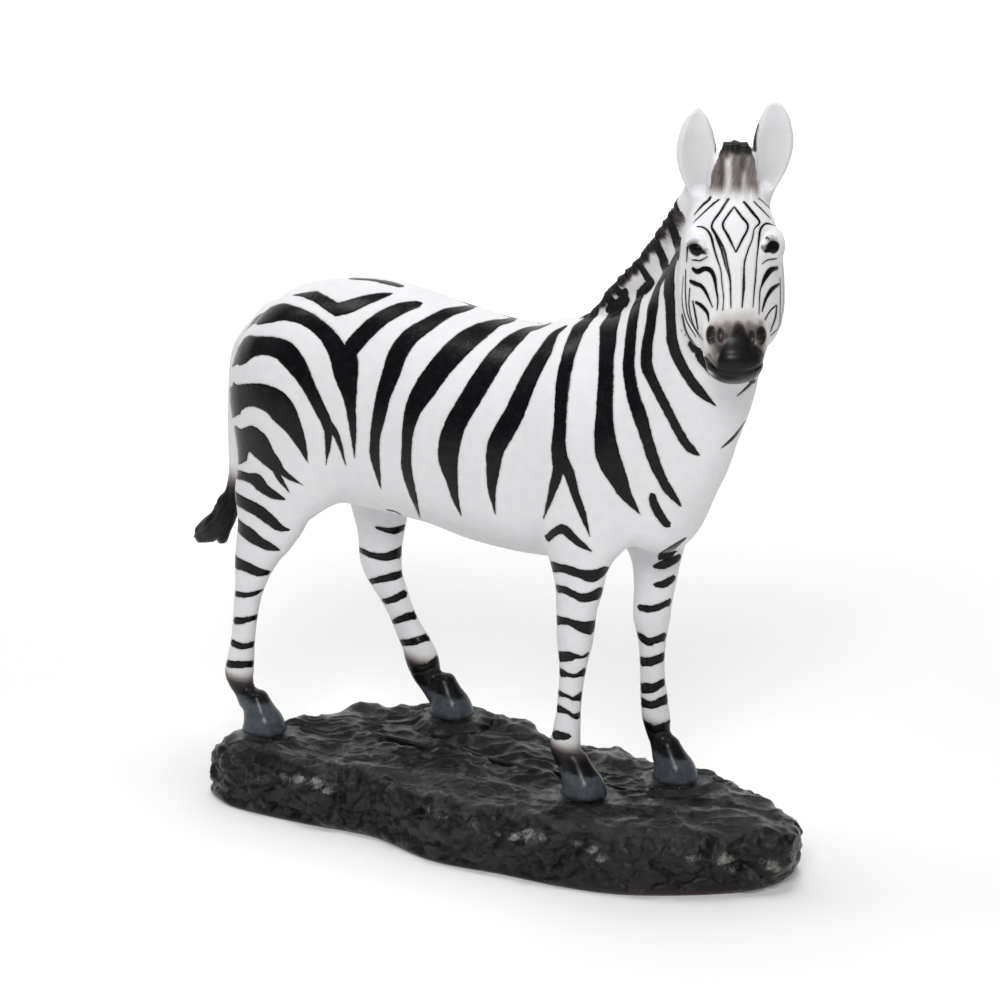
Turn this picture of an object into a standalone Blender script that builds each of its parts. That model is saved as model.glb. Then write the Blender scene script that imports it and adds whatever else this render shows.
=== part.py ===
"""A standing zebra cast in one piece on a rough oval rock plinth."""

import math

import bmesh
import bpy
import numpy as np
from mathutils import Vector

# Driving dimensions, in millimetres. The zebra faces +X, its right side is -Y, the plinth stands on z = 0.
MM = 0.001
HOOF_GAP = 0.3  # between each hoof and its seat on the plinth
BLEND_NECK, BLEND_LIMB, BLEND_TRUNK = 14.0, 7.0, 6.0
CAP = 0.8  # how far a limb's rounded end reaches, in its own radii

# Stations of each limb: x, y, z, radius above or in front, radius below or behind, half width
TRUNK = [
    (-96, 0, 144, 28, 26, 16), (-91, 0, 144, 32, 32, 21), (-83, 0, 144, 36, 37, 25.5), (-72, 0, 143.5, 39.5, 38, 28),
    (-58, 0, 142.5, 42, 38, 29), (-42, 0, 140, 43, 36, 29), (-26, 0, 139, 41, 36, 30), (-9, 0, 138, 39.5, 38, 31),
    (9, 0, 138, 39, 39, 30.5), (24, 0, 139, 41, 38.5, 28.5), (38, 0, 139, 40, 36, 25.5), (50, 0, 136, 34, 31, 21),
    (59, 0, 131, 22, 22, 14),
]
# Crest x and z, throat x and z, sideways centre, half width
NECK = [
    (18, 170, 62, 120, 0, 22), (28, 178, 74.5, 133, 0, 21), (36.5, 182.3, 83.5, 148.5, -1, 18.5),
    (45, 189.5, 89.5, 163, -2.5, 16.5), (54, 197.5, 92.5, 177, -4.5, 14.5), (62, 207, 93, 194, -6.5, 13),
    (68.5, 217, 94, 208, -8, 12.3), (73, 225, 94, 219, -9, 11.5),
]
# x, y, z, radius along the body, radius across it
LEGS = {
    "fore_right": [
        (30, -14, 150, 18, 9), (34, -16, 130, 17, 9), (36, -17.5, 116, 13.4, 8.2), (35.1, -17.5, 108.2, 11.2, 7.4),
        (35, -17.4, 102.3, 10, 6.9), (34.9, -17.2, 95.6, 8.5, 6.3), (34, -17, 89.2, 7.3, 5.9), (33.6, -16.9, 82.9, 6.7, 5.7),
        (33.1, -16.8, 76.1, 6.2, 5.3), (32.6, -16.7, 70.5, 5.2, 4.5), (32, -16.6, 63.6, 4.4, 3.7), (31.2, -16.5, 57, 4.2, 3.5),
        (30.6, -16.4, 50, 4.3, 3.6), (30, -16.4, 44.2, 4.8, 4.1), (29.4, -16.3, 38.6, 5.3, 4.5), (30.6, -16.2, 34.4, 4.8, 4.2),
        (32.7, -16.2, 30.8, 4.8, 4.2),
    ],
    "fore_left": [
        (38, 14, 145, 16, 9), (42, 15, 125, 15, 9), (44.8, 15, 110, 12.2, 7.4), (45.3, 15, 101.6, 10.1, 6.6),
        (45.6, 14.7, 95.5, 8.3, 5.9), (45.3, 14.5, 88.8, 7.3, 5.5), (44.8, 14.2, 82.5, 6.7, 5.5), (44.7, 14, 77.9, 6.5, 5.5),
        (44.9, 13.9, 73.6, 5.6, 4.8), (45, 13.9, 69.5, 4.9, 4.1), (45.2, 13.7, 62.9, 4.4, 3.6), (45.5, 13.6, 56.6, 4.4, 3.6),
        (46.1, 13.5, 51.4, 4.7, 3.9), (46.6, 13.5, 46.5, 4.9, 4.1), (47.3, 13.5, 42.3, 4.9, 4.2), (48, 13.5, 38.2, 4.2, 3.7),
        (49.4, 13.5, 34.5, 4, 3.5), (50.9, 13.4, 30.8, 4.6, 4.1),
    ],
    "hind_right": [
        (-72, -14, 140, 24, 12), (-80, -16, 122, 21, 10.5), (-86.5, -17.5, 108, 16.4, 8.6), (-88.5, -18.2, 100, 13.6, 7.6),
        (-90.2, -18.6, 94.6, 11.4, 6.8), (-92.4, -18.8, 89.5, 9.4, 6), (-94.2, -19, 84.6, 8, 5.5), (-95.4, -19.2, 80.3, 6.9, 4.9),
        (-96.2, -19.4, 76.4, 6, 4.4), (-97, -19.5, 72.5, 5.2, 4), (-97.8, -19.8, 67.2, 4.8, 3.7), (-98.5, -20, 61.5, 4.5, 3.5),
        (-99.4, -20.2, 54, 4.5, 3.5), (-100.3, -20.3, 46.8, 5, 4.1), (-101, -20.4, 42.2, 5.3, 4.5), (-100.2, -20.5, 38.8, 4.6, 4),
        (-98.6, -20.6, 35.8, 3.9, 3.4), (-96.6, -20.7, 32.6, 4.2, 3.7),
    ],
    "hind_left": [
        (-70, 14, 140, 24, 12), (-69, 15.5, 120, 18, 10), (-67, 17, 104, 13, 7.6), (-66.6, 17.2, 96, 10.8, 6.6),
        (-66.6, 17.5, 89.5, 9.2, 5.7), (-66.9, 17.7, 84.5, 8.4, 5.3), (-66.9, 18, 79, 8.1, 5.3), (-65.8, 18.1, 74.8, 7.3, 5),
        (-63.9, 18.1, 70.8, 6.2, 4.5), (-61.3, 18.2, 66, 5.4, 4), (-58.6, 18.3, 60.7, 4.9, 3.7), (-55.8, 18.4, 55.2, 5, 3.9),
        (-52.6, 18.5, 50, 5.6, 4.4), (-50.8, 18.6, 46, 6.1, 4.9), (-49.6, 18.7, 42.6, 5.9, 4.9), (-48.2, 18.7, 39.2, 5.2, 4.4),
        (-46.2, 18.8, 36, 4.5, 3.8), (-43.9, 18.8, 32.9, 4.3, 3.7),
    ],
}
# Hoof centre x and y, and the height of the seat it stands on
HOOVES = {"fore_right": (35.2, -16, 22), "fore_left": (53.6, 13.4, 22), "hind_right": (-91.5, -21, 22), "hind_left": (-39.6, 19, 26)}
# Muscle masses, the same on both sides: centre x, half span y, z, three radii
MASSES = [(-79, 12.5, 141, 27, 16, 33), (33, 13.5, 138, 21, 14.5, 34)]
TAIL = [
    (-97, 0, 168, 3, 4, 4), (-105, 0, 161.5, 3.2, 4, 4), (-111.5, -1, 152, 3.2, 3.4, 3.6), (-113, -2, 138, 3, 3, 3.3),
    (-113, -3, 124, 2.8, 2.8, 3.1), (-112.3, -4, 110, 2.7, 2.7, 3), (-113, -5, 101, 3.2, 3.2, 3.4), (-116.5, -6, 93, 4, 4, 3.8),
    (-121.5, -6.5, 87.5, 4.2, 4.2, 3.6), (-127, -6.5, 84, 2.6, 2.6, 2.4),
]
TAIL_LOCK = [(-115, -6, 98, 3.2, 3.2, 3), (-115.8, -7, 91, 3, 3, 2.8), (-116.2, -7.5, 84.5, 1.6, 1.6, 1.6)]
# The head turns to the right: its own origin at the poll, then along the face, across it and out of it
HEAD_AT = (85.4, -9.5, 226.6)
HEAD_ALONG = (0.308, -0.484, -0.819)
HEAD_OUT = (0.481, -0.663, 0.574)
# Distance along the face, radius to the front, radius to the back, half width
HEAD = [
    (-3, 9.5, 9, 10.5), (3, 13, 12.5, 13), (10, 14.4, 15, 15), (17, 14.6, 16, 15.8), (24, 13.6, 16.5, 14.6), (31, 12, 15, 12.2),
    (37.5, 10.6, 12, 10.4), (42.5, 9.8, 10, 9.7), (47, 9.6, 9.3, 9.9), (51, 8.4, 8.2, 9),
]
# Along, half span across, out, three radii and the blend: cheeks, brows, nostrils, lower lip
FACE = [(27, 8.8, -5.5, 17, 8.2, 12, 4), (14.6, 12.4, 8.2, 5, 3.4, 4.2, 3), (43.5, 6.8, 5, 5, 3.6, 4.6, 3), (52, 0.01, -2.6, 4.2, 6.6, 5.4, 1.6)]
MANE = [
    (27, 0, 178.5, 2, 2.4), (32.5, -0.3, 182.5, 3.6, 2.7), (38.5, -1.2, 188, 4.9, 2.8), (44, -2.5, 193.4, 5.3, 2.9),
    (52.3, -4.2, 200.8, 5.7, 2.9), (58.5, -5.6, 207.6, 6.2, 2.9), (65, -7.5, 215.8, 6.2, 3), (70.3, -9, 223.6, 6, 3.2),
    (75.5, -10.3, 231.5, 6, 3.6), (81, -11, 238, 6, 4.2),
]
FORELOCK = [(88.8, -13.8, 230, 4.6, 5, 7.6), (88.5, -13.2, 237, 4.6, 5, 7.6), (88.7, -12.8, 243, 4, 4.6, 6.4), (89.1, -12.5, 247.2, 3, 3.6, 4.9)]
EAR_FACING = (0.53, -0.83, 0.15)
EARS = [((77.8, -15, 229), (76, -15.4, 243.5), (75.4, -13.8, 258.8)), ((93.6, -5.2, 230), (96.4, -3.1, 246), (95.8, -1.5, 261.5))]
# Share of the ear's length, half width, thickness
EAR = [(0, 3, 3.6), (0.15, 3.6, 3.8), (0.36, 5.6, 3.5), (0.58, 6.4, 3), (0.78, 5.2, 2.4), (0.9, 3.6, 1.9), (0.96, 2.2, 1.5), (1, 0.8, 1.1)]

# The plinth's outline at its foot and at its brim, seen from above, and its height
FOOT = [
    (-107, -30), (-97, -38), (-87, -41), (-62, -41), (-34, -39), (-5, -47), (22, -45), (44, -44), (64.5, -39.5), (84, -28),
    (98, -15.5), (104, -3), (103, 9), (97, 17), (79, 24), (56, 31), (38, 31), (20, 36), (-4, 34), (-22, 38), (-40, 39),
    (-57, 32), (-77, 22), (-87, 12), (-96, -4), (-104, -17),
]
BRIM = [
    (-103, -29), (-95, -36), (-86, -39), (-62, -39.5), (-34, -38), (-5, -44.5), (22, -43.5), (44, -42), (64, -38), (84, -27.5),
    (99, -17.5), (110, -7), (107, 3), (99, 10), (79, 22.5), (56, 31), (38, 30.5), (20, 35.5), (-4, 33), (-22, 37.5), (-40, 38.5),
    (-57, 31), (-78, 21.5), (-87, 11.5), (-93, -4), (-101, -18),
]
PLINTH = 20.5
VOXEL = 2.0
ZEBRA_FACES = 7200
AROUND, INWARD = 76, 9  # points round the plinth and rings across its top

X, Y, Z = np.eye(3)


def unit(v):
    v = np.asarray(v, float)
    return v / np.maximum(np.linalg.norm(v, axis=-1, keepdims=True), 1e-9)


def spline(rows, per, closed=False):
    """A smooth curve through the rows, with per points to each span."""
    rows = np.asarray(rows, float)
    if closed:
        padded = np.vstack([rows[-1:], rows, rows[:2]])
    else:
        padded = np.vstack([2 * rows[0] - rows[1], rows, 2 * rows[-1] - rows[-2]])
    t = np.arange(per)[:, None] / per
    out = []
    for i in range(len(padded) - 3):
        a, b, c, d = padded[i : i + 4]
        out.append(0.5 * (2 * b + (c - a) * t + (2 * a - 5 * b + 4 * c - d) * t**2 + (3 * b - a - 3 * c + d) * t**3))
    if not closed:
        out.append(rows[-1:])
    return np.vstack(out)


class Sweep:
    """A limb: oval sections along a curved axis."""

    def __init__(self, rows, up, per=4, n=2.0, blend=4.0, cut=None):
        rows = np.asarray(rows, float)
        up = np.asarray(up, float)
        if up.ndim == 1:
            up = np.tile(up, (len(rows), 1))
        grid = spline(np.hstack([rows, up]), 24)
        arc = np.concatenate([[0], np.cumsum(np.linalg.norm(np.diff(grid[:, :3], axis=0), axis=1))])
        count = max(per * len(rows), 8)
        even = np.linspace(0, arc[-1], count)
        grid = np.stack([np.interp(even, arc, grid[:, k]) for k in range(grid.shape[1])], 1)
        self.c = grid[:, :3]
        self.r = np.maximum(grid[:, 3:6], 0.3)
        self.T = unit(np.gradient(self.c, axis=0))
        side = grid[:, 6:9]
        self.U = unit(side - (side * self.T).sum(1, keepdims=True) * self.T)
        self.S = np.cross(self.U, self.T)
        self.h = arc[-1] / (count - 1)
        every = np.hstack([self.c, self.r, self.T, self.U, self.S, np.gradient(self.T, axis=0)])
        self.every = np.vstack([2 * every[0] - every[1], every, 2 * every[-1] - every[-2]])
        self.n = n
        self.blend = blend
        self.cut = cut
        big = self.r.max() + 1
        self.lo, self.hi = self.c.min(0) - big, self.c.max(0) + big

    def frame(self, t):
        last = len(self.c) - 1
        j = np.clip(np.floor(t).astype(int), 0, last - 1)
        w = (t - j)[:, None]
        a, b, c, d = (self.every[j + k] for k in range(4))
        g = 0.5 * (2 * b + (c - a) * w + (2 * a - 5 * b + 4 * c - d) * w**2 + (3 * b - a - 3 * c + d) * w**3)
        return g[:, :3], np.maximum(g[:, 3:6], 0.3), unit(g[:, 6:9]), unit(g[:, 9:12]), unit(g[:, 12:15]), g[:, 15:18]

    def locate(self, P):
        """Place along the axis, then along, up and side offsets from it, and the section's radii there."""
        d2 = (P**2).sum(1)[:, None] - 2 * P @ self.c.T + (self.c**2).sum(1)[None]
        t = d2.argmin(1).astype(float)
        last = len(self.c) - 1
        for _ in range(4):
            t = np.clip(t, 0, last)
            c, r, T, U, S, bend = self.frame(t)
            slope = np.minimum(((P - c) * bend).sum(1) - self.h, -0.3 * self.h)
            t = t - np.clip(((P - c) * T).sum(1) / slope, -1.5, 1.5)
        t = np.clip(t, 0, last)
        c, r, T, U, S, bend = self.frame(t)
        q = P - c
        return t, (q * T).sum(1), (q * U).sum(1), (q * S).sum(1), r

    def dist(self, P):
        t, e, u, s, r = self.locate(P)
        last = len(self.c) - 1
        a = np.where(u > 0, r[:, 0], r[:, 1])
        e = np.where((t <= 0) | (t >= last), np.abs(e), 0)
        cap = CAP * r.min(1)
        rho = ((np.abs(s) / r[:, 2]) ** self.n + (np.abs(u) / a) ** self.n + (e / cap) ** self.n) ** (1 / self.n)
        d = np.sqrt(s * s + u * u + e * e) * (1 - 1 / np.maximum(rho, 1e-4))
        return d if self.cut is None else np.maximum(d, self.cut - P[:, 2])

    def loft(self, bm, ring=20, scale=1.0):
        """A closed tube over the sections, with rounded ends."""
        last = len(self.c) - 1
        ends = (self.r[0].min() * CAP, self.r[last].min() * CAP)
        places = [(0, -math.cos(a) * ends[0], math.sin(a)) for a in (0.35, 0.8, 1.2)]
        places += [(i, 0.0, 1.0) for i in range(last + 1)]
        places += [(last, math.cos(a) * ends[1], math.sin(a)) for a in (1.2, 0.8, 0.35)]
        loops = []
        for i, off, k in places:
            loop = []
            for j in range(ring):
                cs, sn = math.cos(2 * math.pi * j / ring), math.sin(2 * math.pi * j / ring)
                a = self.r[i, 0] if cs > 0 else self.r[i, 1]
                m = scale * k * (abs(cs) ** self.n + abs(sn) ** self.n) ** (-1 / self.n)
                p = self.c[i] + self.T[i] * off + m * (self.U[i] * a * cs + self.S[i] * self.r[i, 2] * sn)
                if self.cut is not None:
                    p[2] = max(p[2], self.cut)
                loop.append(bm.verts.new(p))
            loops.append(loop)
        for a, b in zip(loops, loops[1:]):
            for j in range(ring):
                k = (j + 1) % ring
                bm.faces.new((a[j], a[k], b[k], b[j]))
        bm.faces.new(loops[0][::-1])
        bm.faces.new(loops[-1])


class Ball:
    """An ellipsoid with its own axes."""

    def __init__(self, centre, radii, axes=((1, 0, 0), (0, 1, 0), (0, 0, 1)), blend=4.0):
        self.c, self.r3, self.A, self.blend = np.asarray(centre, float), np.asarray(radii, float), unit(axes), blend
        big = self.r3.max() + 1
        self.lo, self.hi = self.c - big, self.c + big

    def dist(self, P):
        q = (P - self.c) @ self.A.T
        rho = np.maximum(np.sqrt(((q / self.r3) ** 2).sum(1)), 1e-4)
        return np.sqrt((q * q).sum(1)) * (1 - 1 / rho)

    def loft(self, bm, ring=16, scale=1.0):
        made = bmesh.ops.create_uvsphere(bm, u_segments=ring, v_segments=ring // 2 + 2, radius=1.0)
        for v in made["verts"]:
            v.co = Vector(self.c + (np.array(v.co) * self.r3 * scale) @ self.A)


def smin(a, b, k):
    h = np.maximum(k - np.abs(a - b), 0) / k
    return np.minimum(a, b) - h * h * k / 4


def field(P, adds, cuts=(), marks=()):
    """Signed distance to the figure: solids that flow into each other, less the hollows and fine grooves."""
    d = np.full(len(P), 60.0)
    for item in adds:
        m = item.blend + 6
        near = ((P > item.lo - m) & (P < item.hi + m)).all(1)
        if near.any():
            d[near] = smin(d[near], item.dist(P[near]), item.blend)
    for item in cuts:
        near = ((P > item.lo - 3) & (P < item.hi + 3)).all(1)
        if near.any():
            d[near] = -smin(-d[near], item.dist(P[near]), item.blend)
    for path, width, depth in marks:
        lo, hi = path.min(0) - 3 * width, path.max(0) + 3 * width
        near = np.nonzero(((P > lo) & (P < hi)).all(1))[0]
        if len(near):
            q = P[near]
            d2 = (q**2).sum(1)[:, None] - 2 * q @ path.T + (path**2).sum(1)[None]
            d[near] += depth * np.exp(-np.maximum(d2.min(1), 0) / width**2)
    return d


def settle(P, adds, cuts=(), marks=(), steps=1, h=0.25, most=1.2):
    """Moves points along the slope of the field until they lie on the figure's skin."""
    corners = np.array([(1, 1, 1), (1, -1, -1), (-1, 1, -1), (-1, -1, 1)], float)
    P = P.copy()
    for _ in range(steps):
        vals = np.stack([field(P + h * k, adds, cuts, marks) for k in corners])
        g = np.tensordot(vals, corners, (0, 0)) / (4 * h)
        move = g * (vals.mean(0) / np.maximum((g * g).sum(1), 0.25))[:, None]
        size = np.linalg.norm(move, axis=1, keepdims=True)
        P -= move * np.minimum(1, most / np.maximum(size, 1e-9))
    return P


def relax(P, edges, amount=0.6):
    """Each point moves towards the mean of its neighbours."""
    n = len(P)
    count = np.bincount(edges.ravel(), minlength=n)
    total = np.stack([np.bincount(edges[:, 0], P[edges[:, 1], k], n) + np.bincount(edges[:, 1], P[edges[:, 0], k], n) for k in range(3)], 1)
    return P + amount * (total / np.maximum(count, 1)[:, None] - P)


def points_of(mesh):
    P = np.empty(len(mesh.vertices) * 3)
    mesh.vertices.foreach_get("co", P)
    E = np.empty(len(mesh.edges) * 2, np.int32)
    mesh.edges.foreach_get("vertices", E)
    return P.reshape(-1, 3), E.reshape(-1, 2)


def mesh_of(items, scale=1.0):
    bm = bmesh.new()
    for item in items:
        item.loft(bm, scale=scale)
    bmesh.ops.recalc_face_normals(bm, faces=bm.faces)
    mesh = bpy.data.meshes.new("body")
    bm.to_mesh(mesh)
    bm.free()
    return mesh


def modified(mesh, kind, **settings):
    """The mesh after one modifier."""
    obj = bpy.data.objects.new("work", mesh)
    bpy.context.scene.collection.objects.link(obj)
    modifier = obj.modifiers.new(kind, kind)
    for key, value in settings.items():
        setattr(modifier, key, value)
    made = bpy.data.meshes.new_from_object(obj.evaluated_get(bpy.context.evaluated_depsgraph_get()))
    bpy.data.objects.remove(obj)
    return made


def skin(adds, pairs, voxel):
    """One closed mesh over all the solids. Each pair is a solid and the hollow cut from it."""
    bm = bmesh.new()
    bm.from_mesh(mesh_of(adds, 1.01))
    for solid, hollow in pairs:
        tool = bpy.data.objects.new("tool", mesh_of([hollow]))
        bpy.context.scene.collection.objects.link(tool)
        bm.from_mesh(modified(mesh_of([solid], 1.01), "BOOLEAN", object=tool, operation="DIFFERENCE", solver="EXACT"))
        bpy.data.objects.remove(tool)
    mesh = bpy.data.meshes.new("body")
    bm.to_mesh(mesh)
    bm.free()
    return modified(mesh, "REMESH", mode="VOXEL", voxel_size=voxel)


ALONG = unit(HEAD_ALONG)
OUT = unit(np.array(HEAD_OUT) - np.dot(HEAD_OUT, ALONG) * ALONG)
ACROSS = np.cross(ALONG, OUT) * (1 if np.cross(ALONG, OUT)[0] > 0 else -1)  # towards the animal's left


def on_head(a, s, u):
    return np.array(HEAD_AT) + ALONG * a + ACROSS * s + OUT * u


def figure():
    """The zebra as solids, the hollows of its ears, and the ears."""
    adds = [Sweep(TRUNK, Z, blend=BLEND_TRUNK)]
    rows, ups = [], []
    for cx, cz, tx, tz, y, w in NECK:
        half = math.hypot(cx - tx, cz - tz) / 2
        rows.append(((cx + tx) / 2, y, (cz + tz) / 2, half, half, w))
        ups.append((cx - tx, 0, cz - tz))
    adds.append(Sweep(rows, ups, blend=BLEND_NECK))
    for side in (-1, 1):
        (x, y, z, *r), (x2, y2, z2, *r2) = MASSES
        adds.append(Ball((x, side * y, z), r, blend=8))
        adds.append(Ball((x2, side * y2, z2), r2, ((0.97, 0, 0.25), (0, 1, 0), (-0.25, 0, 0.97)), blend=8))
    adds.append(Ball((58, 0, 124), (11, 17, 17), blend=8))
    for stations in LEGS.values():
        adds.append(Sweep([(x, y, z, a, a, b) for x, y, z, a, b in stations], X, blend=BLEND_LIMB))
    for x, y, seat in HOOVES.values():
        z = seat + HOOF_GAP
        rows = [(x - 2.2, y, z + 11.1, 4.6, 4.4, 4.3), (x - 0.8, y, z + 7, 5.9, 5.6, 5.4), (x + 0.6, y, z + 3, 7.6, 7.2, 6.8), (x + 1.2, y, z - 3, 8.8, 8.4, 7.8)]
        adds.append(Sweep(rows, X, n=2.2, blend=1.6, cut=z))
    adds.append(Sweep(TAIL, (-1, 0, 0.3), blend=3))
    adds.append(Sweep(TAIL_LOCK, -X, blend=2))
    adds.append(Sweep([(*on_head(a, 0, 0), f, b, w) for a, f, b, w in HEAD], OUT, n=2.25, blend=6))
    for a, s, u, ra, rs, ru, k in FACE:
        for side in (-1, 1) if s > 1 else (1,):
            adds.append(Ball(on_head(a, side * s, u), (ra, rs, ru), (ALONG, ACROSS, OUT), blend=k))
    adds.append(Sweep([(x, y, z, h, h, w) for x, y, z, h, w in MANE], (-0.72, 0.06, 0.7), n=2.4, blend=2.6))
    adds.append(Sweep(FORELOCK, EAR_FACING, n=2.4, blend=2.5))
    facing = unit(EAR_FACING)
    ears, hollows = [], []
    for base, mid, tip in EARS:
        base, mid, tip = map(np.array, (base, mid, tip))
        solid, hollow = [], []
        for k, w, th in EAR:
            p = base * (1 - k) ** 2 + 2 * (2 * mid - (base + tip) / 2) * k * (1 - k) + tip * k * k
            solid.append((*p, th, th, w))
            if k > 0.1:
                hollow.append((*(p + facing * (th * 0.9 + 0.6)), 1.6, th * (1.15 if k < 0.7 else 0.8), max(w - 1, 0.5)))
        ears.append(Sweep(solid, facing, blend=2.5))
        hollows.append(Sweep(hollow, facing, blend=1.0))
    return adds, hollows, ears


def settled(voxel, rounds=6):
    """The zebra's skin as one mesh, in millimetres."""
    adds, hollows, ears = figure()
    mesh = skin(adds, list(zip(ears, hollows)), voxel)
    adds = adds + ears
    P, E = points_of(mesh)
    P = settle(P, adds, hollows, steps=3)
    for _ in range(rounds):
        P = settle(relax(relax(P, E), E), adds, hollows)
    return mesh, settle(P, adds, hollows, steps=2), E, adds, hollows


def material(name, colour, roughness):
    made = bpy.data.materials.new(name)
    made.use_nodes = True
    shader = made.node_tree.nodes["Principled BSDF"]
    shader.inputs["Base Color"].default_value = (*colour, 1)
    shader.inputs["Roughness"].default_value = roughness
    shader.inputs["Metallic"].default_value = 0
    made.diffuse_color = (*colour, 1)
    return made


def place(name, mesh, paint):
    mesh.materials.clear()
    mesh.materials.append(paint)
    obj = bpy.data.objects.new(name, mesh)
    bpy.context.scene.collection.objects.link(obj)
    return obj


def even_loop(rows, count):
    """Points at equal steps round a closed outline."""
    dense = spline(rows, 24, closed=True)
    dense = np.vstack([dense, dense[:1]])
    arc = np.concatenate([[0], np.cumsum(np.linalg.norm(np.diff(dense, axis=0), axis=1))])
    at = np.arange(count) * arc[-1] / count
    return np.stack([np.interp(at, arc, dense[:, k]) for k in range(2)], 1)


def ground(x, y):
    """Height of the plinth's top: a gentle swell under the near hind foot, ripples, and level seats."""
    z = PLINTH + 0.6 + 3.2 * np.exp(-(((x + 44) / 26) ** 2) - ((y - 24) / 17) ** 2)
    z = z + 0.55 * np.sin(0.17 * x + 0.11 * y + 1.2 * np.sin(0.09 * y)) + 0.45 * np.sin(0.06 * x - 0.33 * y)
    for hx, hy, seat in HOOVES.values():
        d = np.hypot(x - hx - 1, y - hy)
        w = np.clip((14.5 - d) / 4.5, 0, 1)
        w = w * w * (3 - 2 * w)
        z = z * (1 - w) + seat * w
    return z


def plinth():
    """The rock: a rough skirt from the foot to the brim, then rings drawn in to the middle of the top."""
    foot, brim = even_loop(FOOT, AROUND), even_loop(BRIM, AROUND)
    k = np.arange(AROUND)
    spine = np.stack([np.clip(brim[:, 0] * 0.8, -62, 62), np.full(AROUND, -3.0)], 1)
    out = unit(brim - spine)
    bm = bmesh.new()
    rings = []
    for share, bulge, z in [(0, -1.2, 0), (0, 0.2, 1.4), (0.35, 1.1, 6.5), (0.7, 1.3, 12.5), (1, 0.6, 17.2), (1, -1.8, 19.6)]:
        rough = 0.9 * np.sin(1.9 * k + z) + 0.7 * np.sin(0.83 * k + 0.7 * z)
        xy = foot * (1 - share) + brim * share + out * (bulge + rough * (0.15 if z in (0, 19.6) else 0.8))[:, None]
        rings.append([bm.verts.new((*p, z)) for p in xy])
    for i in range(1, INWARD + 1):
        s = 1 - (i / (INWARD + 1)) ** 0.9
        xy = spine + (brim - out * 3.4 - spine) * s
        z = ground(xy[:, 0], xy[:, 1])
        rings.append([bm.verts.new((x, y, h)) for (x, y), h in zip(xy, z)])
    for a, b in zip(rings, rings[1:]):
        for j in range(AROUND):
            m = (j + 1) % AROUND
            bm.faces.new((a[j], a[m], b[m], b[j]))
    bm.faces.new(rings[0][::-1])
    cap = bm.faces.new(rings[-1])
    bmesh.ops.triangulate(bm, faces=[cap])
    bmesh.ops.recalc_face_normals(bm, faces=bm.faces)
    bmesh.ops.scale(bm, vec=(MM, MM, MM), verts=bm.verts)
    mesh = bpy.data.meshes.new("rock_base")
    bm.to_mesh(mesh)
    bm.free()
    return mesh


def main():
    for obj in list(bpy.data.objects):
        bpy.data.objects.remove(obj)
    mesh, P, E, adds, hollows = settled(VOXEL)
    mesh.vertices.foreach_set("co", (P * MM).ravel())
    mesh.update()
    zebra = place("zebra", mesh, material("painted_white", (0.83, 0.83, 0.84), 0.5))
    mesh.calc_loop_triangles()
    thin = zebra.modifiers.new("Fewer faces", "DECIMATE")
    thin.ratio = ZEBRA_FACES / len(mesh.loop_triangles)
    place("rock_base", plinth(), material("painted_black", (0.018, 0.016, 0.016), 0.45))


main()
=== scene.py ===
"""The zebra figurine as it is seen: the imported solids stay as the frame, and two finished pieces stand for them.
Lengths are in millimetres until a mesh is written. The animal faces +X, its right side is -Y."""

import math

import bmesh
import bpy
import numpy as np
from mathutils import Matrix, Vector
from mathutils.bvhtree import BVHTree

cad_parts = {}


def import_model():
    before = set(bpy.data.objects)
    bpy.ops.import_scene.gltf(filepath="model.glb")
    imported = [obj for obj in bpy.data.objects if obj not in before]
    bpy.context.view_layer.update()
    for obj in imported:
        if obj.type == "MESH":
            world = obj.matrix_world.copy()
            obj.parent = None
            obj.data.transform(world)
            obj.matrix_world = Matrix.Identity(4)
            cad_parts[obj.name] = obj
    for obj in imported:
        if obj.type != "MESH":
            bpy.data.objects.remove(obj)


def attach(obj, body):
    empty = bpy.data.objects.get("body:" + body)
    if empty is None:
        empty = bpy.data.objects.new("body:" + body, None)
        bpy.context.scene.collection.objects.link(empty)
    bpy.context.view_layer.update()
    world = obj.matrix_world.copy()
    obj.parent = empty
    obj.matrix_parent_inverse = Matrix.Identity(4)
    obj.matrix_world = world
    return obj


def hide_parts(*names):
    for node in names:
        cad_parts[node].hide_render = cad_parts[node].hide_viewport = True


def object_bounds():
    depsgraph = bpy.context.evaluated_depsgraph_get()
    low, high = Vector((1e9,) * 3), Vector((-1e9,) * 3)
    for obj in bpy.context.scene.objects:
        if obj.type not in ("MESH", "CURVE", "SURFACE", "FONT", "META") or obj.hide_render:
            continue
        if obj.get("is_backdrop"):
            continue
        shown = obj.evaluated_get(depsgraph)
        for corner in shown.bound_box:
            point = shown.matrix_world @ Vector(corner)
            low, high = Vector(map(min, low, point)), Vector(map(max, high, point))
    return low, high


# Driving dimensions, in millimetres. The zebra faces +X, its right side is -Y, the plinth stands on z = 0.
MM = 0.001
HOOF_GAP = 0.3  # between each hoof and its seat on the plinth
BLEND_NECK, BLEND_LIMB, BLEND_TRUNK = 14.0, 7.0, 6.0
CAP = 0.8  # how far a limb's rounded end reaches, in its own radii

# Stations of each limb: x, y, z, radius above or in front, radius below or behind, half width
TRUNK = [
    (-96, 0, 144, 28, 26, 16), (-91, 0, 144, 32, 32, 21), (-83, 0, 144, 36, 37, 25.5), (-72, 0, 143.5, 39.5, 38, 28),
    (-58, 0, 142.5, 42, 38, 29), (-42, 0, 140, 43, 36, 29), (-26, 0, 139, 41, 36, 30), (-9, 0, 138, 39.5, 38, 31),
    (9, 0, 138, 39, 39, 30.5), (24, 0, 139, 41, 38.5, 28.5), (38, 0, 139, 40, 36, 25.5), (50, 0, 136, 34, 31, 21),
    (59, 0, 131, 22, 22, 14),
]
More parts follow.
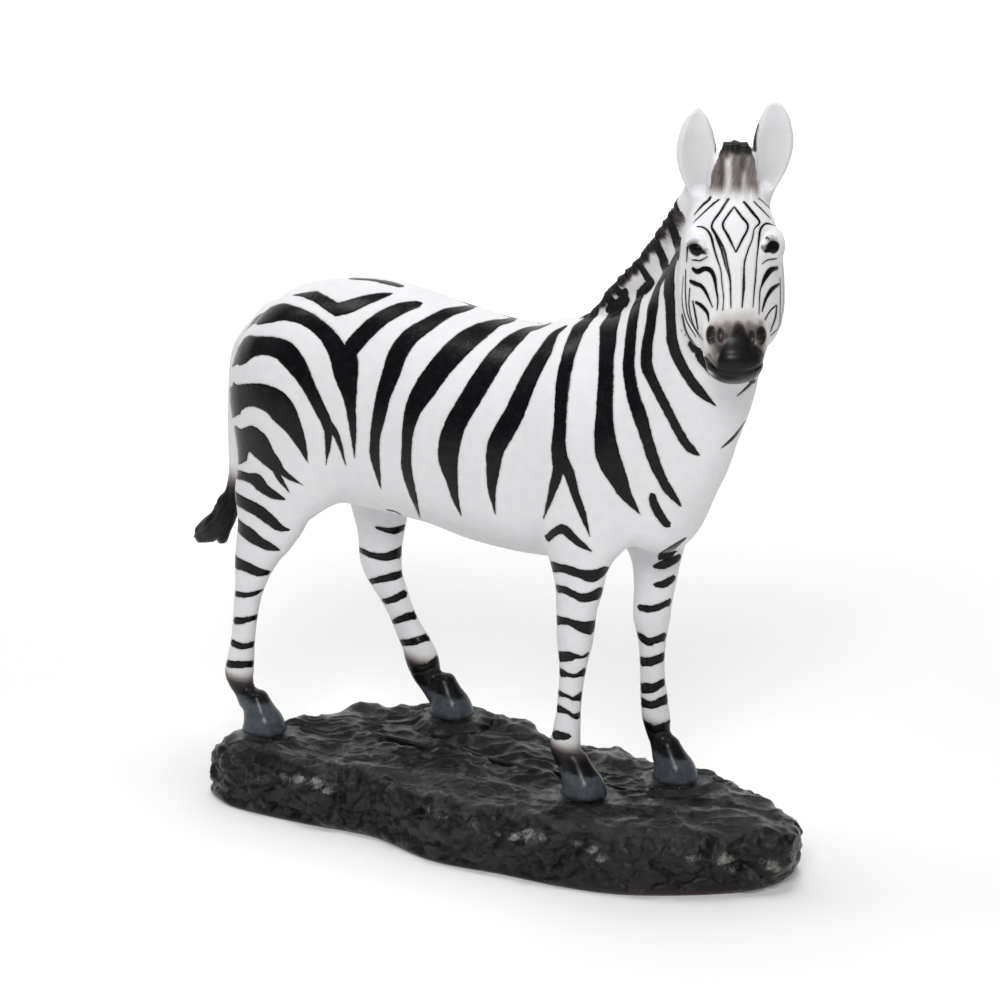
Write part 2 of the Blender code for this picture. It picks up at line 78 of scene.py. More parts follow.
# Crest x and z, throat x and z, sideways centre, half width
NECK = [
    (18, 170, 62, 120, 0, 22), (28, 178, 74.5, 133, 0, 21), (36.5, 182.3, 83.5, 148.5, -1, 18.5),
    (45, 189.5, 89.5, 163, -2.5, 16.5), (54, 197.5, 92.5, 177, -4.5, 14.5), (62, 207, 93, 194, -6.5, 13),
    (68.5, 217, 94, 208, -8, 12.3), (73, 225, 94, 219, -9, 11.5),
]
# x, y, z, radius along the body, radius across it
LEGS = {
    "fore_right": [
        (30, -14, 150, 18, 9), (34, -16, 130, 17, 9), (36, -17.5, 116, 13.4, 8.2), (35.1, -17.5, 108.2, 11.2, 7.4),
        (35, -17.4, 102.3, 10, 6.9), (34.9, -17.2, 95.6, 8.5, 6.3), (34, -17, 89.2, 7.3, 5.9), (33.6, -16.9, 82.9, 6.7, 5.7),
        (33.1, -16.8, 76.1, 6.2, 5.3), (32.6, -16.7, 70.5, 5.2, 4.5), (32, -16.6, 63.6, 4.4, 3.7), (31.2, -16.5, 57, 4.2, 3.5),
        (30.6, -16.4, 50, 4.3, 3.6), (30, -16.4, 44.2, 4.8, 4.1), (29.4, -16.3, 38.6, 5.3, 4.5), (30.6, -16.2, 34.4, 4.8, 4.2),
        (32.7, -16.2, 30.8, 4.8, 4.2),
    ],
    "fore_left": [
        (38, 14, 145, 16, 9), (42, 15, 125, 15, 9), (44.8, 15, 110, 12.2, 7.4), (45.3, 15, 101.6, 10.1, 6.6),
        (45.6, 14.7, 95.5, 8.3, 5.9), (45.3, 14.5, 88.8, 7.3, 5.5), (44.8, 14.2, 82.5, 6.7, 5.5), (44.7, 14, 77.9, 6.5, 5.5),
        (44.9, 13.9, 73.6, 5.6, 4.8), (45, 13.9, 69.5, 4.9, 4.1), (45.2, 13.7, 62.9, 4.4, 3.6), (45.5, 13.6, 56.6, 4.4, 3.6),
        (46.1, 13.5, 51.4, 4.7, 3.9), (46.6, 13.5, 46.5, 4.9, 4.1), (47.3, 13.5, 42.3, 4.9, 4.2), (48, 13.5, 38.2, 4.2, 3.7),
        (49.4, 13.5, 34.5, 4, 3.5), (50.9, 13.4, 30.8, 4.6, 4.1),
    ],
    "hind_right": [
        (-72, -14, 140, 24, 12), (-80, -16, 122, 21, 10.5), (-86.5, -17.5, 108, 16.4, 8.6), (-88.5, -18.2, 100, 13.6, 7.6),
        (-90.2, -18.6, 94.6, 11.4, 6.8), (-92.4, -18.8, 89.5, 9.4, 6), (-94.2, -19, 84.6, 8, 5.5), (-95.4, -19.2, 80.3, 6.9, 4.9),
        (-96.2, -19.4, 76.4, 6, 4.4), (-97, -19.5, 72.5, 5.2, 4), (-97.8, -19.8, 67.2, 4.8, 3.7), (-98.5, -20, 61.5, 4.5, 3.5),
        (-99.4, -20.2, 54, 4.5, 3.5), (-100.3, -20.3, 46.8, 5, 4.1), (-101, -20.4, 42.2, 5.3, 4.5), (-100.2, -20.5, 38.8, 4.6, 4),
        (-98.6, -20.6, 35.8, 3.9, 3.4), (-96.6, -20.7, 32.6, 4.2, 3.7),
    ],
    "hind_left": [
        (-70, 14, 140, 24, 12), (-69, 15.5, 120, 18, 10), (-67, 17, 104, 13, 7.6), (-66.6, 17.2, 96, 10.8, 6.6),
        (-66.6, 17.5, 89.5, 9.2, 5.7), (-66.9, 17.7, 84.5, 8.4, 5.3), (-66.9, 18, 79, 8.1, 5.3), (-65.8, 18.1, 74.8, 7.3, 5),
        (-63.9, 18.1, 70.8, 6.2, 4.5), (-61.3, 18.2, 66, 5.4, 4), (-58.6, 18.3, 60.7, 4.9, 3.7), (-55.8, 18.4, 55.2, 5, 3.9),
        (-52.6, 18.5, 50, 5.6, 4.4), (-50.8, 18.6, 46, 6.1, 4.9), (-49.6, 18.7, 42.6, 5.9, 4.9), (-48.2, 18.7, 39.2, 5.2, 4.4),
        (-46.2, 18.8, 36, 4.5, 3.8), (-43.9, 18.8, 32.9, 4.3, 3.7),
    ],
}
# Hoof centre x and y, and the height of the seat it stands on
HOOVES = {"fore_right": (35.2, -16, 22), "fore_left": (53.6, 13.4, 22), "hind_right": (-91.5, -21, 22), "hind_left": (-39.6, 19, 26)}
# Muscle masses, the same on both sides: centre x, half span y, z, three radii
MASSES = [(-79, 12.5, 141, 27, 16, 33), (33, 13.5, 138, 21, 14.5, 34)]
TAIL = [
    (-97, 0, 168, 3, 4, 4), (-105, 0, 161.5, 3.2, 4, 4), (-111.5, -1, 152, 3.2, 3.4, 3.6), (-113, -2, 138, 3, 3, 3.3),
    (-113, -3, 124, 2.8, 2.8, 3.1), (-112.3, -4, 110, 2.7, 2.7, 3), (-113, -5, 101, 3.2, 3.2, 3.4), (-116.5, -6, 93, 4, 4, 3.8),
    (-121.5, -6.5, 87.5, 4.2, 4.2, 3.6), (-127, -6.5, 84, 2.6, 2.6, 2.4),
]
TAIL_LOCK = [(-115, -6, 98, 3.2, 3.2, 3), (-115.8, -7, 91, 3, 3, 2.8), (-116.2, -7.5, 84.5, 1.6, 1.6, 1.6)]
# The head turns to the right: its own origin at the poll, then along the face, across it and out of it
HEAD_AT = (85.4, -9.5, 226.6)
HEAD_ALONG = (0.308, -0.484, -0.819)
HEAD_OUT = (0.481, -0.663, 0.574)
# Distance along the face, radius to the front, radius to the back, half width
HEAD = [
    (-3, 9.5, 9, 10.5), (3, 13, 12.5, 13), (10, 14.4, 15, 15), (17, 14.6, 16, 15.8), (24, 13.6, 16.5, 14.6), (31, 12, 15, 12.2),
    (37.5, 10.6, 12, 10.4), (42.5, 9.8, 10, 9.7), (47, 9.6, 9.3, 9.9), (51, 8.4, 8.2, 9),
]
# Along, half span across, out, three radii and the blend: cheeks, brows, nostrils, lower lip
FACE = [(27, 8.8, -5.5, 17, 8.2, 12, 4), (14.6, 12.4, 8.2, 5, 3.4, 4.2, 3), (43.5, 6.8, 5, 5, 3.6, 4.6, 3), (52, 0.01, -2.6, 4.2, 6.6, 5.4, 1.6)]
MANE = [
    (27, 0, 178.5, 2, 2.4), (32.5, -0.3, 182.5, 3.6, 2.7), (38.5, -1.2, 188, 4.9, 2.8), (44, -2.5, 193.4, 5.3, 2.9),
    (52.3, -4.2, 200.8, 5.7, 2.9), (58.5, -5.6, 207.6, 6.2, 2.9), (65, -7.5, 215.8, 6.2, 3), (70.3, -9, 223.6, 6, 3.2),
    (75.5, -10.3, 231.5, 6, 3.6), (81, -11, 238, 6, 4.2),
]
FORELOCK = [(88.8, -13.8, 230, 4.6, 5, 7.6), (88.5, -13.2, 237, 4.6, 5, 7.6), (88.7, -12.8, 243, 4, 4.6, 6.4), (89.1, -12.5, 247.2, 3, 3.6, 4.9)]
EAR_FACING = (0.53, -0.83, 0.15)
EARS = [((77.8, -15, 229), (76, -15.4, 243.5), (75.4, -13.8, 258.8)), ((93.6, -5.2, 230), (96.4, -3.1, 246), (95.8, -1.5, 261.5))]
# Share of the ear's length, half width, thickness
EAR = [(0, 3, 3.6), (0.15, 3.6, 3.8), (0.36, 5.6, 3.5), (0.58, 6.4, 3), (0.78, 5.2, 2.4), (0.9, 3.6, 1.9), (0.96, 2.2, 1.5), (1, 0.8, 1.1)]

# The plinth's outline at its foot and at its brim, seen from above, and its height
FOOT = [
    (-107, -30), (-97, -38), (-87, -41), (-62, -41), (-34, -39), (-5, -47), (22, -45), (44, -44), (64.5, -39.5), (84, -28),
    (98, -15.5), (104, -3), (103, 9), (97, 17), (79, 24), (56, 31), (38, 31), (20, 36), (-4, 34), (-22, 38), (-40, 39),
    (-57, 32), (-77, 22), (-87, 12), (-96, -4), (-104, -17),
]
BRIM = [
    (-103, -29), (-95, -36), (-86, -39), (-62, -39.5), (-34, -38), (-5, -44.5), (22, -43.5), (44, -42), (64, -38), (84, -27.5),
    (99, -17.5), (110, -7), (107, 3), (99, 10), (79, 22.5), (56, 31), (38, 30.5), (20, 35.5), (-4, 33), (-22, 37.5), (-40, 38.5),
    (-57, 31), (-78, 21.5), (-87, 11.5), (-93, -4), (-101, -18),
]
PLINTH = 20.5


X, Y, Z = np.eye(3)


def unit(v):
    v = np.asarray(v, float)
    return v / np.maximum(np.linalg.norm(v, axis=-1, keepdims=True), 1e-9)


def spline(rows, per, closed=False):
    """A smooth curve through the rows, with per points to each span."""
    rows = np.asarray(rows, float)
    if closed:
        padded = np.vstack([rows[-1:], rows, rows[:2]])
    else:
        padded = np.vstack([2 * rows[0] - rows[1], rows, 2 * rows[-1] - rows[-2]])
    t = np.arange(per)[:, None] / per
    out = []
    for i in range(len(padded) - 3):
        a, b, c, d = padded[i : i + 4]
        out.append(0.5 * (2 * b + (c - a) * t + (2 * a - 5 * b + 4 * c - d) * t**2 + (3 * b - a - 3 * c + d) * t**3))
    if not closed:
        out.append(rows[-1:])
    return np.vstack(out)


class Sweep:
    """A limb: oval sections along a curved axis."""

    def __init__(self, rows, up, per=4, n=2.0, blend=4.0, cut=None):
        rows = np.asarray(rows, float)
        up = np.asarray(up, float)
        if up.ndim == 1:
            up = np.tile(up, (len(rows), 1))
        grid = spline(np.hstack([rows, up]), 24)
        arc = np.concatenate([[0], np.cumsum(np.linalg.norm(np.diff(grid[:, :3], axis=0), axis=1))])
        count = max(per * len(rows), 8)
        even = np.linspace(0, arc[-1], count)
        grid = np.stack([np.interp(even, arc, grid[:, k]) for k in range(grid.shape[1])], 1)
        self.c = grid[:, :3]
        self.r = np.maximum(grid[:, 3:6], 0.3)
        self.T = unit(np.gradient(self.c, axis=0))
        side = grid[:, 6:9]
        self.U = unit(side - (side * self.T).sum(1, keepdims=True) * self.T)
        self.S = np.cross(self.U, self.T)
        self.h = arc[-1] / (count - 1)
        every = np.hstack([self.c, self.r, self.T, self.U, self.S, np.gradient(self.T, axis=0)])
        self.every = np.vstack([2 * every[0] - every[1], every, 2 * every[-1] - every[-2]])
        self.n = n
        self.blend = blend
        self.cut = cut
        big = self.r.max() + 1
        self.lo, self.hi = self.c.min(0) - big, self.c.max(0) + big

    def frame(self, t):
        last = len(self.c) - 1
        j = np.clip(np.floor(t).astype(int), 0, last - 1)
        w = (t - j)[:, None]
        a, b, c, d = (self.every[j + k] for k in range(4))
        g = 0.5 * (2 * b + (c - a) * w + (2 * a - 5 * b + 4 * c - d) * w**2 + (3 * b - a - 3 * c + d) * w**3)
        return g[:, :3], np.maximum(g[:, 3:6], 0.3), unit(g[:, 6:9]), unit(g[:, 9:12]), unit(g[:, 12:15]), g[:, 15:18]

    def locate(self, P):
        """Place along the axis, then along, up and side offsets from it, and the section's radii there."""
        d2 = (P**2).sum(1)[:, None] - 2 * P @ self.c.T + (self.c**2).sum(1)[None]
        t = d2.argmin(1).astype(float)
        last = len(self.c) - 1
        for _ in range(4):
            t = np.clip(t, 0, last)
            c, r, T, U, S, bend = self.frame(t)
            slope = np.minimum(((P - c) * bend).sum(1) - self.h, -0.3 * self.h)
            t = t - np.clip(((P - c) * T).sum(1) / slope, -1.5, 1.5)
        t = np.clip(t, 0, last)
        c, r, T, U, S, bend = self.frame(t)
        q = P - c
        return t, (q * T).sum(1), (q * U).sum(1), (q * S).sum(1), r

    def dist(self, P):
        t, e, u, s, r = self.locate(P)
        last = len(self.c) - 1
        a = np.where(u > 0, r[:, 0], r[:, 1])
        e = np.where((t <= 0) | (t >= last), np.abs(e), 0)
        cap = CAP * r.min(1)
        rho = ((np.abs(s) / r[:, 2]) ** self.n + (np.abs(u) / a) ** self.n + (e / cap) ** self.n) ** (1 / self.n)
        d = np.sqrt(s * s + u * u + e * e) * (1 - 1 / np.maximum(rho, 1e-4))
        return d if self.cut is None else np.maximum(d, self.cut - P[:, 2])

    def loft(self, bm, ring=20, scale=1.0):
        """A closed tube over the sections, with rounded ends."""
        last = len(self.c) - 1
        ends = (self.r[0].min() * CAP, self.r[last].min() * CAP)
        places = [(0, -math.cos(a) * ends[0], math.sin(a)) for a in (0.35, 0.8, 1.2)]
        places += [(i, 0.0, 1.0) for i in range(last + 1)]
        places += [(last, math.cos(a) * ends[1], math.sin(a)) for a in (1.2, 0.8, 0.35)]
        loops = []
        for i, off, k in places:
            loop = []
            for j in range(ring):
                cs, sn = math.cos(2 * math.pi * j / ring), math.sin(2 * math.pi * j / ring)
                a = self.r[i, 0] if cs > 0 else self.r[i, 1]
                m = scale * k * (abs(cs) ** self.n + abs(sn) ** self.n) ** (-1 / self.n)
                p = self.c[i] + self.T[i] * off + m * (self.U[i] * a * cs + self.S[i] * self.r[i, 2] * sn)
                if self.cut is not None:
                    p[2] = max(p[2], self.cut)
                loop.append(bm.verts.new(p))
            loops.append(loop)
        for a, b in zip(loops, loops[1:]):
            for j in range(ring):
                k = (j + 1) % ring
                bm.faces.new((a[j], a[k], b[k], b[j]))
        bm.faces.new(loops[0][::-1])
        bm.faces.new(loops[-1])


class Ball:
    """An ellipsoid with its own axes."""

    def __init__(self, centre, radii, axes=((1, 0, 0), (0, 1, 0), (0, 0, 1)), blend=4.0):
        self.c, self.r3, self.A, self.blend = np.asarray(centre, float), np.asarray(radii, float), unit(axes), blend
        big = self.r3.max() + 1
        self.lo, self.hi = self.c - big, self.c + big

    def dist(self, P):
        q = (P - self.c) @ self.A.T
        rho = np.maximum(np.sqrt(((q / self.r3) ** 2).sum(1)), 1e-4)
        return np.sqrt((q * q).sum(1)) * (1 - 1 / rho)

    def loft(self, bm, ring=16, scale=1.0):
        made = bmesh.ops.create_uvsphere(bm, u_segments=ring, v_segments=ring // 2 + 2, radius=1.0)
        for v in made["verts"]:
            v.co = Vector(self.c + (np.array(v.co) * self.r3 * scale) @ self.A)


def smin(a, b, k):
    h = np.maximum(k - np.abs(a - b), 0) / k
    return np.minimum(a, b) - h * h * k / 4


def field(P, adds, cuts=(), marks=()):
    """Signed distance to the figure: solids that flow into each other, less the hollows and fine grooves."""
    d = np.full(len(P), 60.0)
    for item in adds:
        m = item.blend + 6
        near = ((P > item.lo - m) & (P < item.hi + m)).all(1)
        if near.any():
            d[near] = smin(d[near], item.dist(P[near]), item.blend)
    for item in cuts:
        near = ((P > item.lo - 3) & (P < item.hi + 3)).all(1)
        if near.any():
            d[near] = -smin(-d[near], item.dist(P[near]), item.blend)
    for path, width, depth in marks:
        lo, hi = path.min(0) - 3 * width, path.max(0) + 3 * width
        near = np.nonzero(((P > lo) & (P < hi)).all(1))[0]
        if len(near):
            q = P[near]
            d2 = (q**2).sum(1)[:, None] - 2 * q @ path.T + (path**2).sum(1)[None]
            d[near] += depth * np.exp(-np.maximum(d2.min(1), 0) / width**2)
    return d


def settle(P, adds, cuts=(), marks=(), steps=1, h=0.25, most=1.2):
    """Moves points along the slope of the field until they lie on the figure's skin."""
    corners = np.array([(1, 1, 1), (1, -1, -1), (-1, 1, -1), (-1, -1, 1)], float)
    P = P.copy()
    for _ in range(steps):
        vals = np.stack([field(P + h * k, adds, cuts, marks) for k in corners])
        g = np.tensordot(vals, corners, (0, 0)) / (4 * h)
        move = g * (vals.mean(0) / np.maximum((g * g).sum(1), 0.25))[:, None]
        size = np.linalg.norm(move, axis=1, keepdims=True)
        P -= move * np.minimum(1, most / np.maximum(size, 1e-9))
    return P


def relax(P, edges, amount=0.6):
    """Each point moves towards the mean of its neighbours."""
    n = len(P)
    count = np.bincount(edges.ravel(), minlength=n)
    total = np.stack([np.bincount(edges[:, 0], P[edges[:, 1], k], n) + np.bincount(edges[:, 1], P[edges[:, 0], k], n) for k in range(3)], 1)
    return P + amount * (total / np.maximum(count, 1)[:, None] - P)


def points_of(mesh):
    P = np.empty(len(mesh.vertices) * 3)
    mesh.vertices.foreach_get("co", P)
    E = np.empty(len(mesh.edges) * 2, np.int32)
    mesh.edges.foreach_get("vertices", E)
    return P.reshape(-1, 3), E.reshape(-1, 2)


def mesh_of(items, scale=1.0):
    bm = bmesh.new()
    for item in items:
        item.loft(bm, scale=scale)
    bmesh.ops.recalc_face_normals(bm, faces=bm.faces)
    mesh = bpy.data.meshes.new("body")
    bm.to_mesh(mesh)
    bm.free()
    return mesh


def modified(mesh, kind, **settings):
    """The mesh after one modifier."""
    obj = bpy.data.objects.new("work", mesh)
    bpy.context.scene.collection.objects.link(obj)
    modifier = obj.modifiers.new(kind, kind)
    for key, value in settings.items():
        setattr(modifier, key, value)
    made = bpy.data.meshes.new_from_object(obj.evaluated_get(bpy.context.evaluated_depsgraph_get()))
    bpy.data.objects.remove(obj)
    return made


def skin(adds, pairs, voxel):
    """One closed mesh over all the solids. Each pair is a solid and the hollow cut from it."""
    bm = bmesh.new()
    bm.from_mesh(mesh_of(adds, 1.01))
    for solid, hollow in pairs:
        tool = bpy.data.objects.new("tool", mesh_of([hollow]))
        bpy.context.scene.collection.objects.link(tool)
        bm.from_mesh(modified(mesh_of([solid], 1.01), "BOOLEAN", object=tool, operation="DIFFERENCE", solver="EXACT"))
        bpy.data.objects.remove(tool)
    mesh = bpy.data.meshes.new("body")
    bm.to_mesh(mesh)
    bm.free()
    return modified(mesh, "REMESH", mode="VOXEL", voxel_size=voxel)


ALONG = unit(HEAD_ALONG)
OUT = unit(np.array(HEAD_OUT) - np.dot(HEAD_OUT, ALONG) * ALONG)
ACROSS = np.cross(ALONG, OUT) * (1 if np.cross(ALONG, OUT)[0] > 0 else -1)  # towards the animal's left


def on_head(a, s, u):
    return np.array(HEAD_AT) + ALONG * a + ACROSS * s + OUT * u


def figure():
    """The zebra as solids, the hollows of its ears, and the ears."""
    adds = [Sweep(TRUNK, Z, blend=BLEND_TRUNK)]
    rows, ups = [], []
    for cx, cz, tx, tz, y, w in NECK:
        half = math.hypot(cx - tx, cz - tz) / 2
        rows.append(((cx + tx) / 2, y, (cz + tz) / 2, half, half, w))
        ups.append((cx - tx, 0, cz - tz))
    adds.append(Sweep(rows, ups, blend=BLEND_NECK))
    for side in (-1, 1):
        (x, y, z, *r), (x2, y2, z2, *r2) = MASSES
        adds.append(Ball((x, side * y, z), r, blend=8))
        adds.append(Ball((x2, side * y2, z2), r2, ((0.97, 0, 0.25), (0, 1, 0), (-0.25, 0, 0.97)), blend=8))
    adds.append(Ball((58, 0, 124), (11, 17, 17), blend=8))
    for stations in LEGS.values():
        adds.append(Sweep([(x, y, z, a, a, b) for x, y, z, a, b in stations], X, blend=BLEND_LIMB))
    for x, y, seat in HOOVES.values():
        z = seat + HOOF_GAP
        rows = [(x - 2.2, y, z + 11.1, 4.6, 4.4, 4.3), (x - 0.8, y, z + 7, 5.9, 5.6, 5.4), (x + 0.6, y, z + 3, 7.6, 7.2, 6.8), (x + 1.2, y, z - 3, 8.8, 8.4, 7.8)]
        adds.append(Sweep(rows, X, n=2.2, blend=1.6, cut=z))
    adds.append(Sweep(TAIL, (-1, 0, 0.3), blend=3))
    adds.append(Sweep(TAIL_LOCK, -X, blend=2))
    adds.append(Sweep([(*on_head(a, 0, 0), f, b, w) for a, f, b, w in HEAD], OUT, n=2.25, blend=6))
    for a, s, u, ra, rs, ru, k in FACE:
        for side in (-1, 1) if s > 1 else (1,):
            adds.append(Ball(on_head(a, side * s, u), (ra, rs, ru), (ALONG, ACROSS, OUT), blend=k))
    adds.append(Sweep([(x, y, z, h, h, w) for x, y, z, h, w in MANE], (-0.72, 0.06, 0.7), n=2.4, blend=2.6))
    adds.append(Sweep(FORELOCK, EAR_FACING, n=2.4, blend=2.5))
    facing = unit(EAR_FACING)
    ears, hollows = [], []
    for base, mid, tip in EARS:
        base, mid, tip = map(np.array, (base, mid, tip))
        solid, hollow = [], []
        for k, w, th in EAR:
            p = base * (1 - k) ** 2 + 2 * (2 * mid - (base + tip) / 2) * k * (1 - k) + tip * k * k
            solid.append((*p, th, th, w))
            if k > 0.1:
                hollow.append((*(p + facing * (th * 0.9 + 0.6)), 1.6, th * (1.15 if k < 0.7 else 0.8), max(w - 1, 0.5)))
        ears.append(Sweep(solid, facing, blend=2.5))
        hollows.append(Sweep(hollow, facing, blend=1.0))
    return adds, hollows, ears


def settled(voxel, rounds=6):
    """The zebra's skin as one mesh, in millimetres."""
    adds, hollows, ears = figure()
    mesh = skin(adds, list(zip(ears, hollows)), voxel)
    adds = adds + ears
    P, E = points_of(mesh)
    P = settle(P, adds, hollows, steps=3)
    for _ in range(rounds):
        P = settle(relax(relax(P, E), E), adds, hollows)
    return mesh, settle(P, adds, hollows, steps=2), E, adds, hollows


def even_loop(rows, count):
    """Points at equal steps round a closed outline."""
    dense = spline(rows, 24, closed=True)
    dense = np.vstack([dense, dense[:1]])
    arc = np.concatenate([[0], np.cumsum(np.linalg.norm(np.diff(dense, axis=0), axis=1))])
    at = np.arange(count) * arc[-1] / count
    return np.stack([np.interp(at, arc, dense[:, k]) for k in range(2)], 1)


def ground(x, y):
    """Height of the plinth's top: a gentle swell under the near hind foot, ripples, and level seats."""
    z = PLINTH + 0.6 + 3.2 * np.exp(-(((x + 44) / 26) ** 2) - ((y - 24) / 17) ** 2)
    z = z + 0.55 * np.sin(0.17 * x + 0.11 * y + 1.2 * np.sin(0.09 * y)) + 0.45 * np.sin(0.06 * x - 0.33 * y)
    for hx, hy, seat in HOOVES.values():
        d = np.hypot(x - hx - 1, y - hy)
        w = np.clip((14.5 - d) / 4.5, 0, 1)
        w = w * w * (3 - 2 * w)
        z = z * (1 - w) + seat * w
    return z


# The camera that sees the figurine as the photograph does. Pixels are those of the 1000 x 1000 picture.
BACK = unit((0.50810, -0.81313, 0.28402))  # from the figurine towards the camera
RIGHT = unit((0.84805, 0.52992, 0.0))
UP = unit((-0.15051, 0.24086, 0.95882))
TARGET = np.array((0.0, -10.5, 118.0))
DISTANCE, FOCAL = 1400.0, 4200.0
EYE = TARGET + BACK * DISTANCE


def pixel(P):
    """Where points are seen, in pixels, and how deep."""
    q = P - EYE
    depth = -(q @ BACK)
    return 500 + FOCAL * (q @ RIGHT) / depth, 500 - FOCAL * (q @ UP) / depth, depth


def hit(tree, u, v):
    """The point and normal of the skin that is seen at a pixel."""
    ray = unit(RIGHT * (u - 500) - UP * (v - 500) - BACK * FOCAL)
    p, n, _, _ = tree.ray_cast(Vector(EYE), Vector(ray))
    return (None, None) if p is None else (np.array(p), np.array(n))


def ramp(x, a, b):
    """0 before a, 1 after b, smooth between; a may be above b."""
    k = np.clip((x - a) / (b - a), 0, 1)
    return k * k * (3 - 2 * k)


def scatter(cells, seed):
    """A number from 0 to 1 for each cell of a lattice."""
    with np.errstate(over="ignore"):
        a = cells.astype(np.int64).astype(np.uint64)
        k = a[..., 0] * np.uint64(0x9E3779B97F4A7C15) ^ a[..., 1] * np.uint64(0xC2B2AE3D27D4EB4F) ^ a[..., 2] * np.uint64(0x165667B19E3779F9)
        k = k + np.uint64(seed * 7919 + 12345)
        k = (k ^ (k >> np.uint64(30))) * np.uint64(0xBF58476D1CE4E5B9)
        k = (k ^ (k >> np.uint64(27))) * np.uint64(0x94D049BB133111EB)
        k = k ^ (k >> np.uint64(31))
    return (k >> np.uint64(11)).astype(float) / 2.0**53


def noise(P, size, seed=0):
    """Smooth lattice noise from -1 to 1."""
    q = P / size
    base = np.floor(q)
    w = q - base
    w = w * w * w * (w * (6 * w - 15) + 10)
    total = 0
    for i in (0, 1):
        for j in (0, 1):
            for k in (0, 1):
                share = (w[:, 0] if i else 1 - w[:, 0]) * (w[:, 1] if j else 1 - w[:, 1]) * (w[:, 2] if k else 1 - w[:, 2])
                total = total + share * scatter(base + (i, j, k), seed)
    return 2 * total - 1


def layers(P, size, count, seed=0, keep=0.5):
    total, share = 0, 1.0
    for i in range(count):
        total = total + share * noise(P, size / 2**i, seed + 31 * i)
        share *= keep
    return total


def cells(P, size, seed=0):
    """Distances to the nearest and next scattered points, in sizes, and a number for the nearest one."""
    q = P / size
    base = np.floor(q)
    first, second, mark = np.full(len(P), 9.0), np.full(len(P), 9.0), np.zeros(len(P))
    for i in (-1, 0, 1):
        for j in (-1, 0, 1):
            for k in (-1, 0, 1):
                cell = base + (i, j, k)
                at = cell + np.stack([scatter(cell, seed + s) for s in (1, 2, 3)], 1)
                d = np.linalg.norm(q - at, axis=1)
                closer = d < first
                second = np.where(closer, first, np.minimum(second, d))
                mark = np.where(closer, scatter(cell, seed + 9), mark)
                first = np.where(closer, d, first)
    return first, second, mark


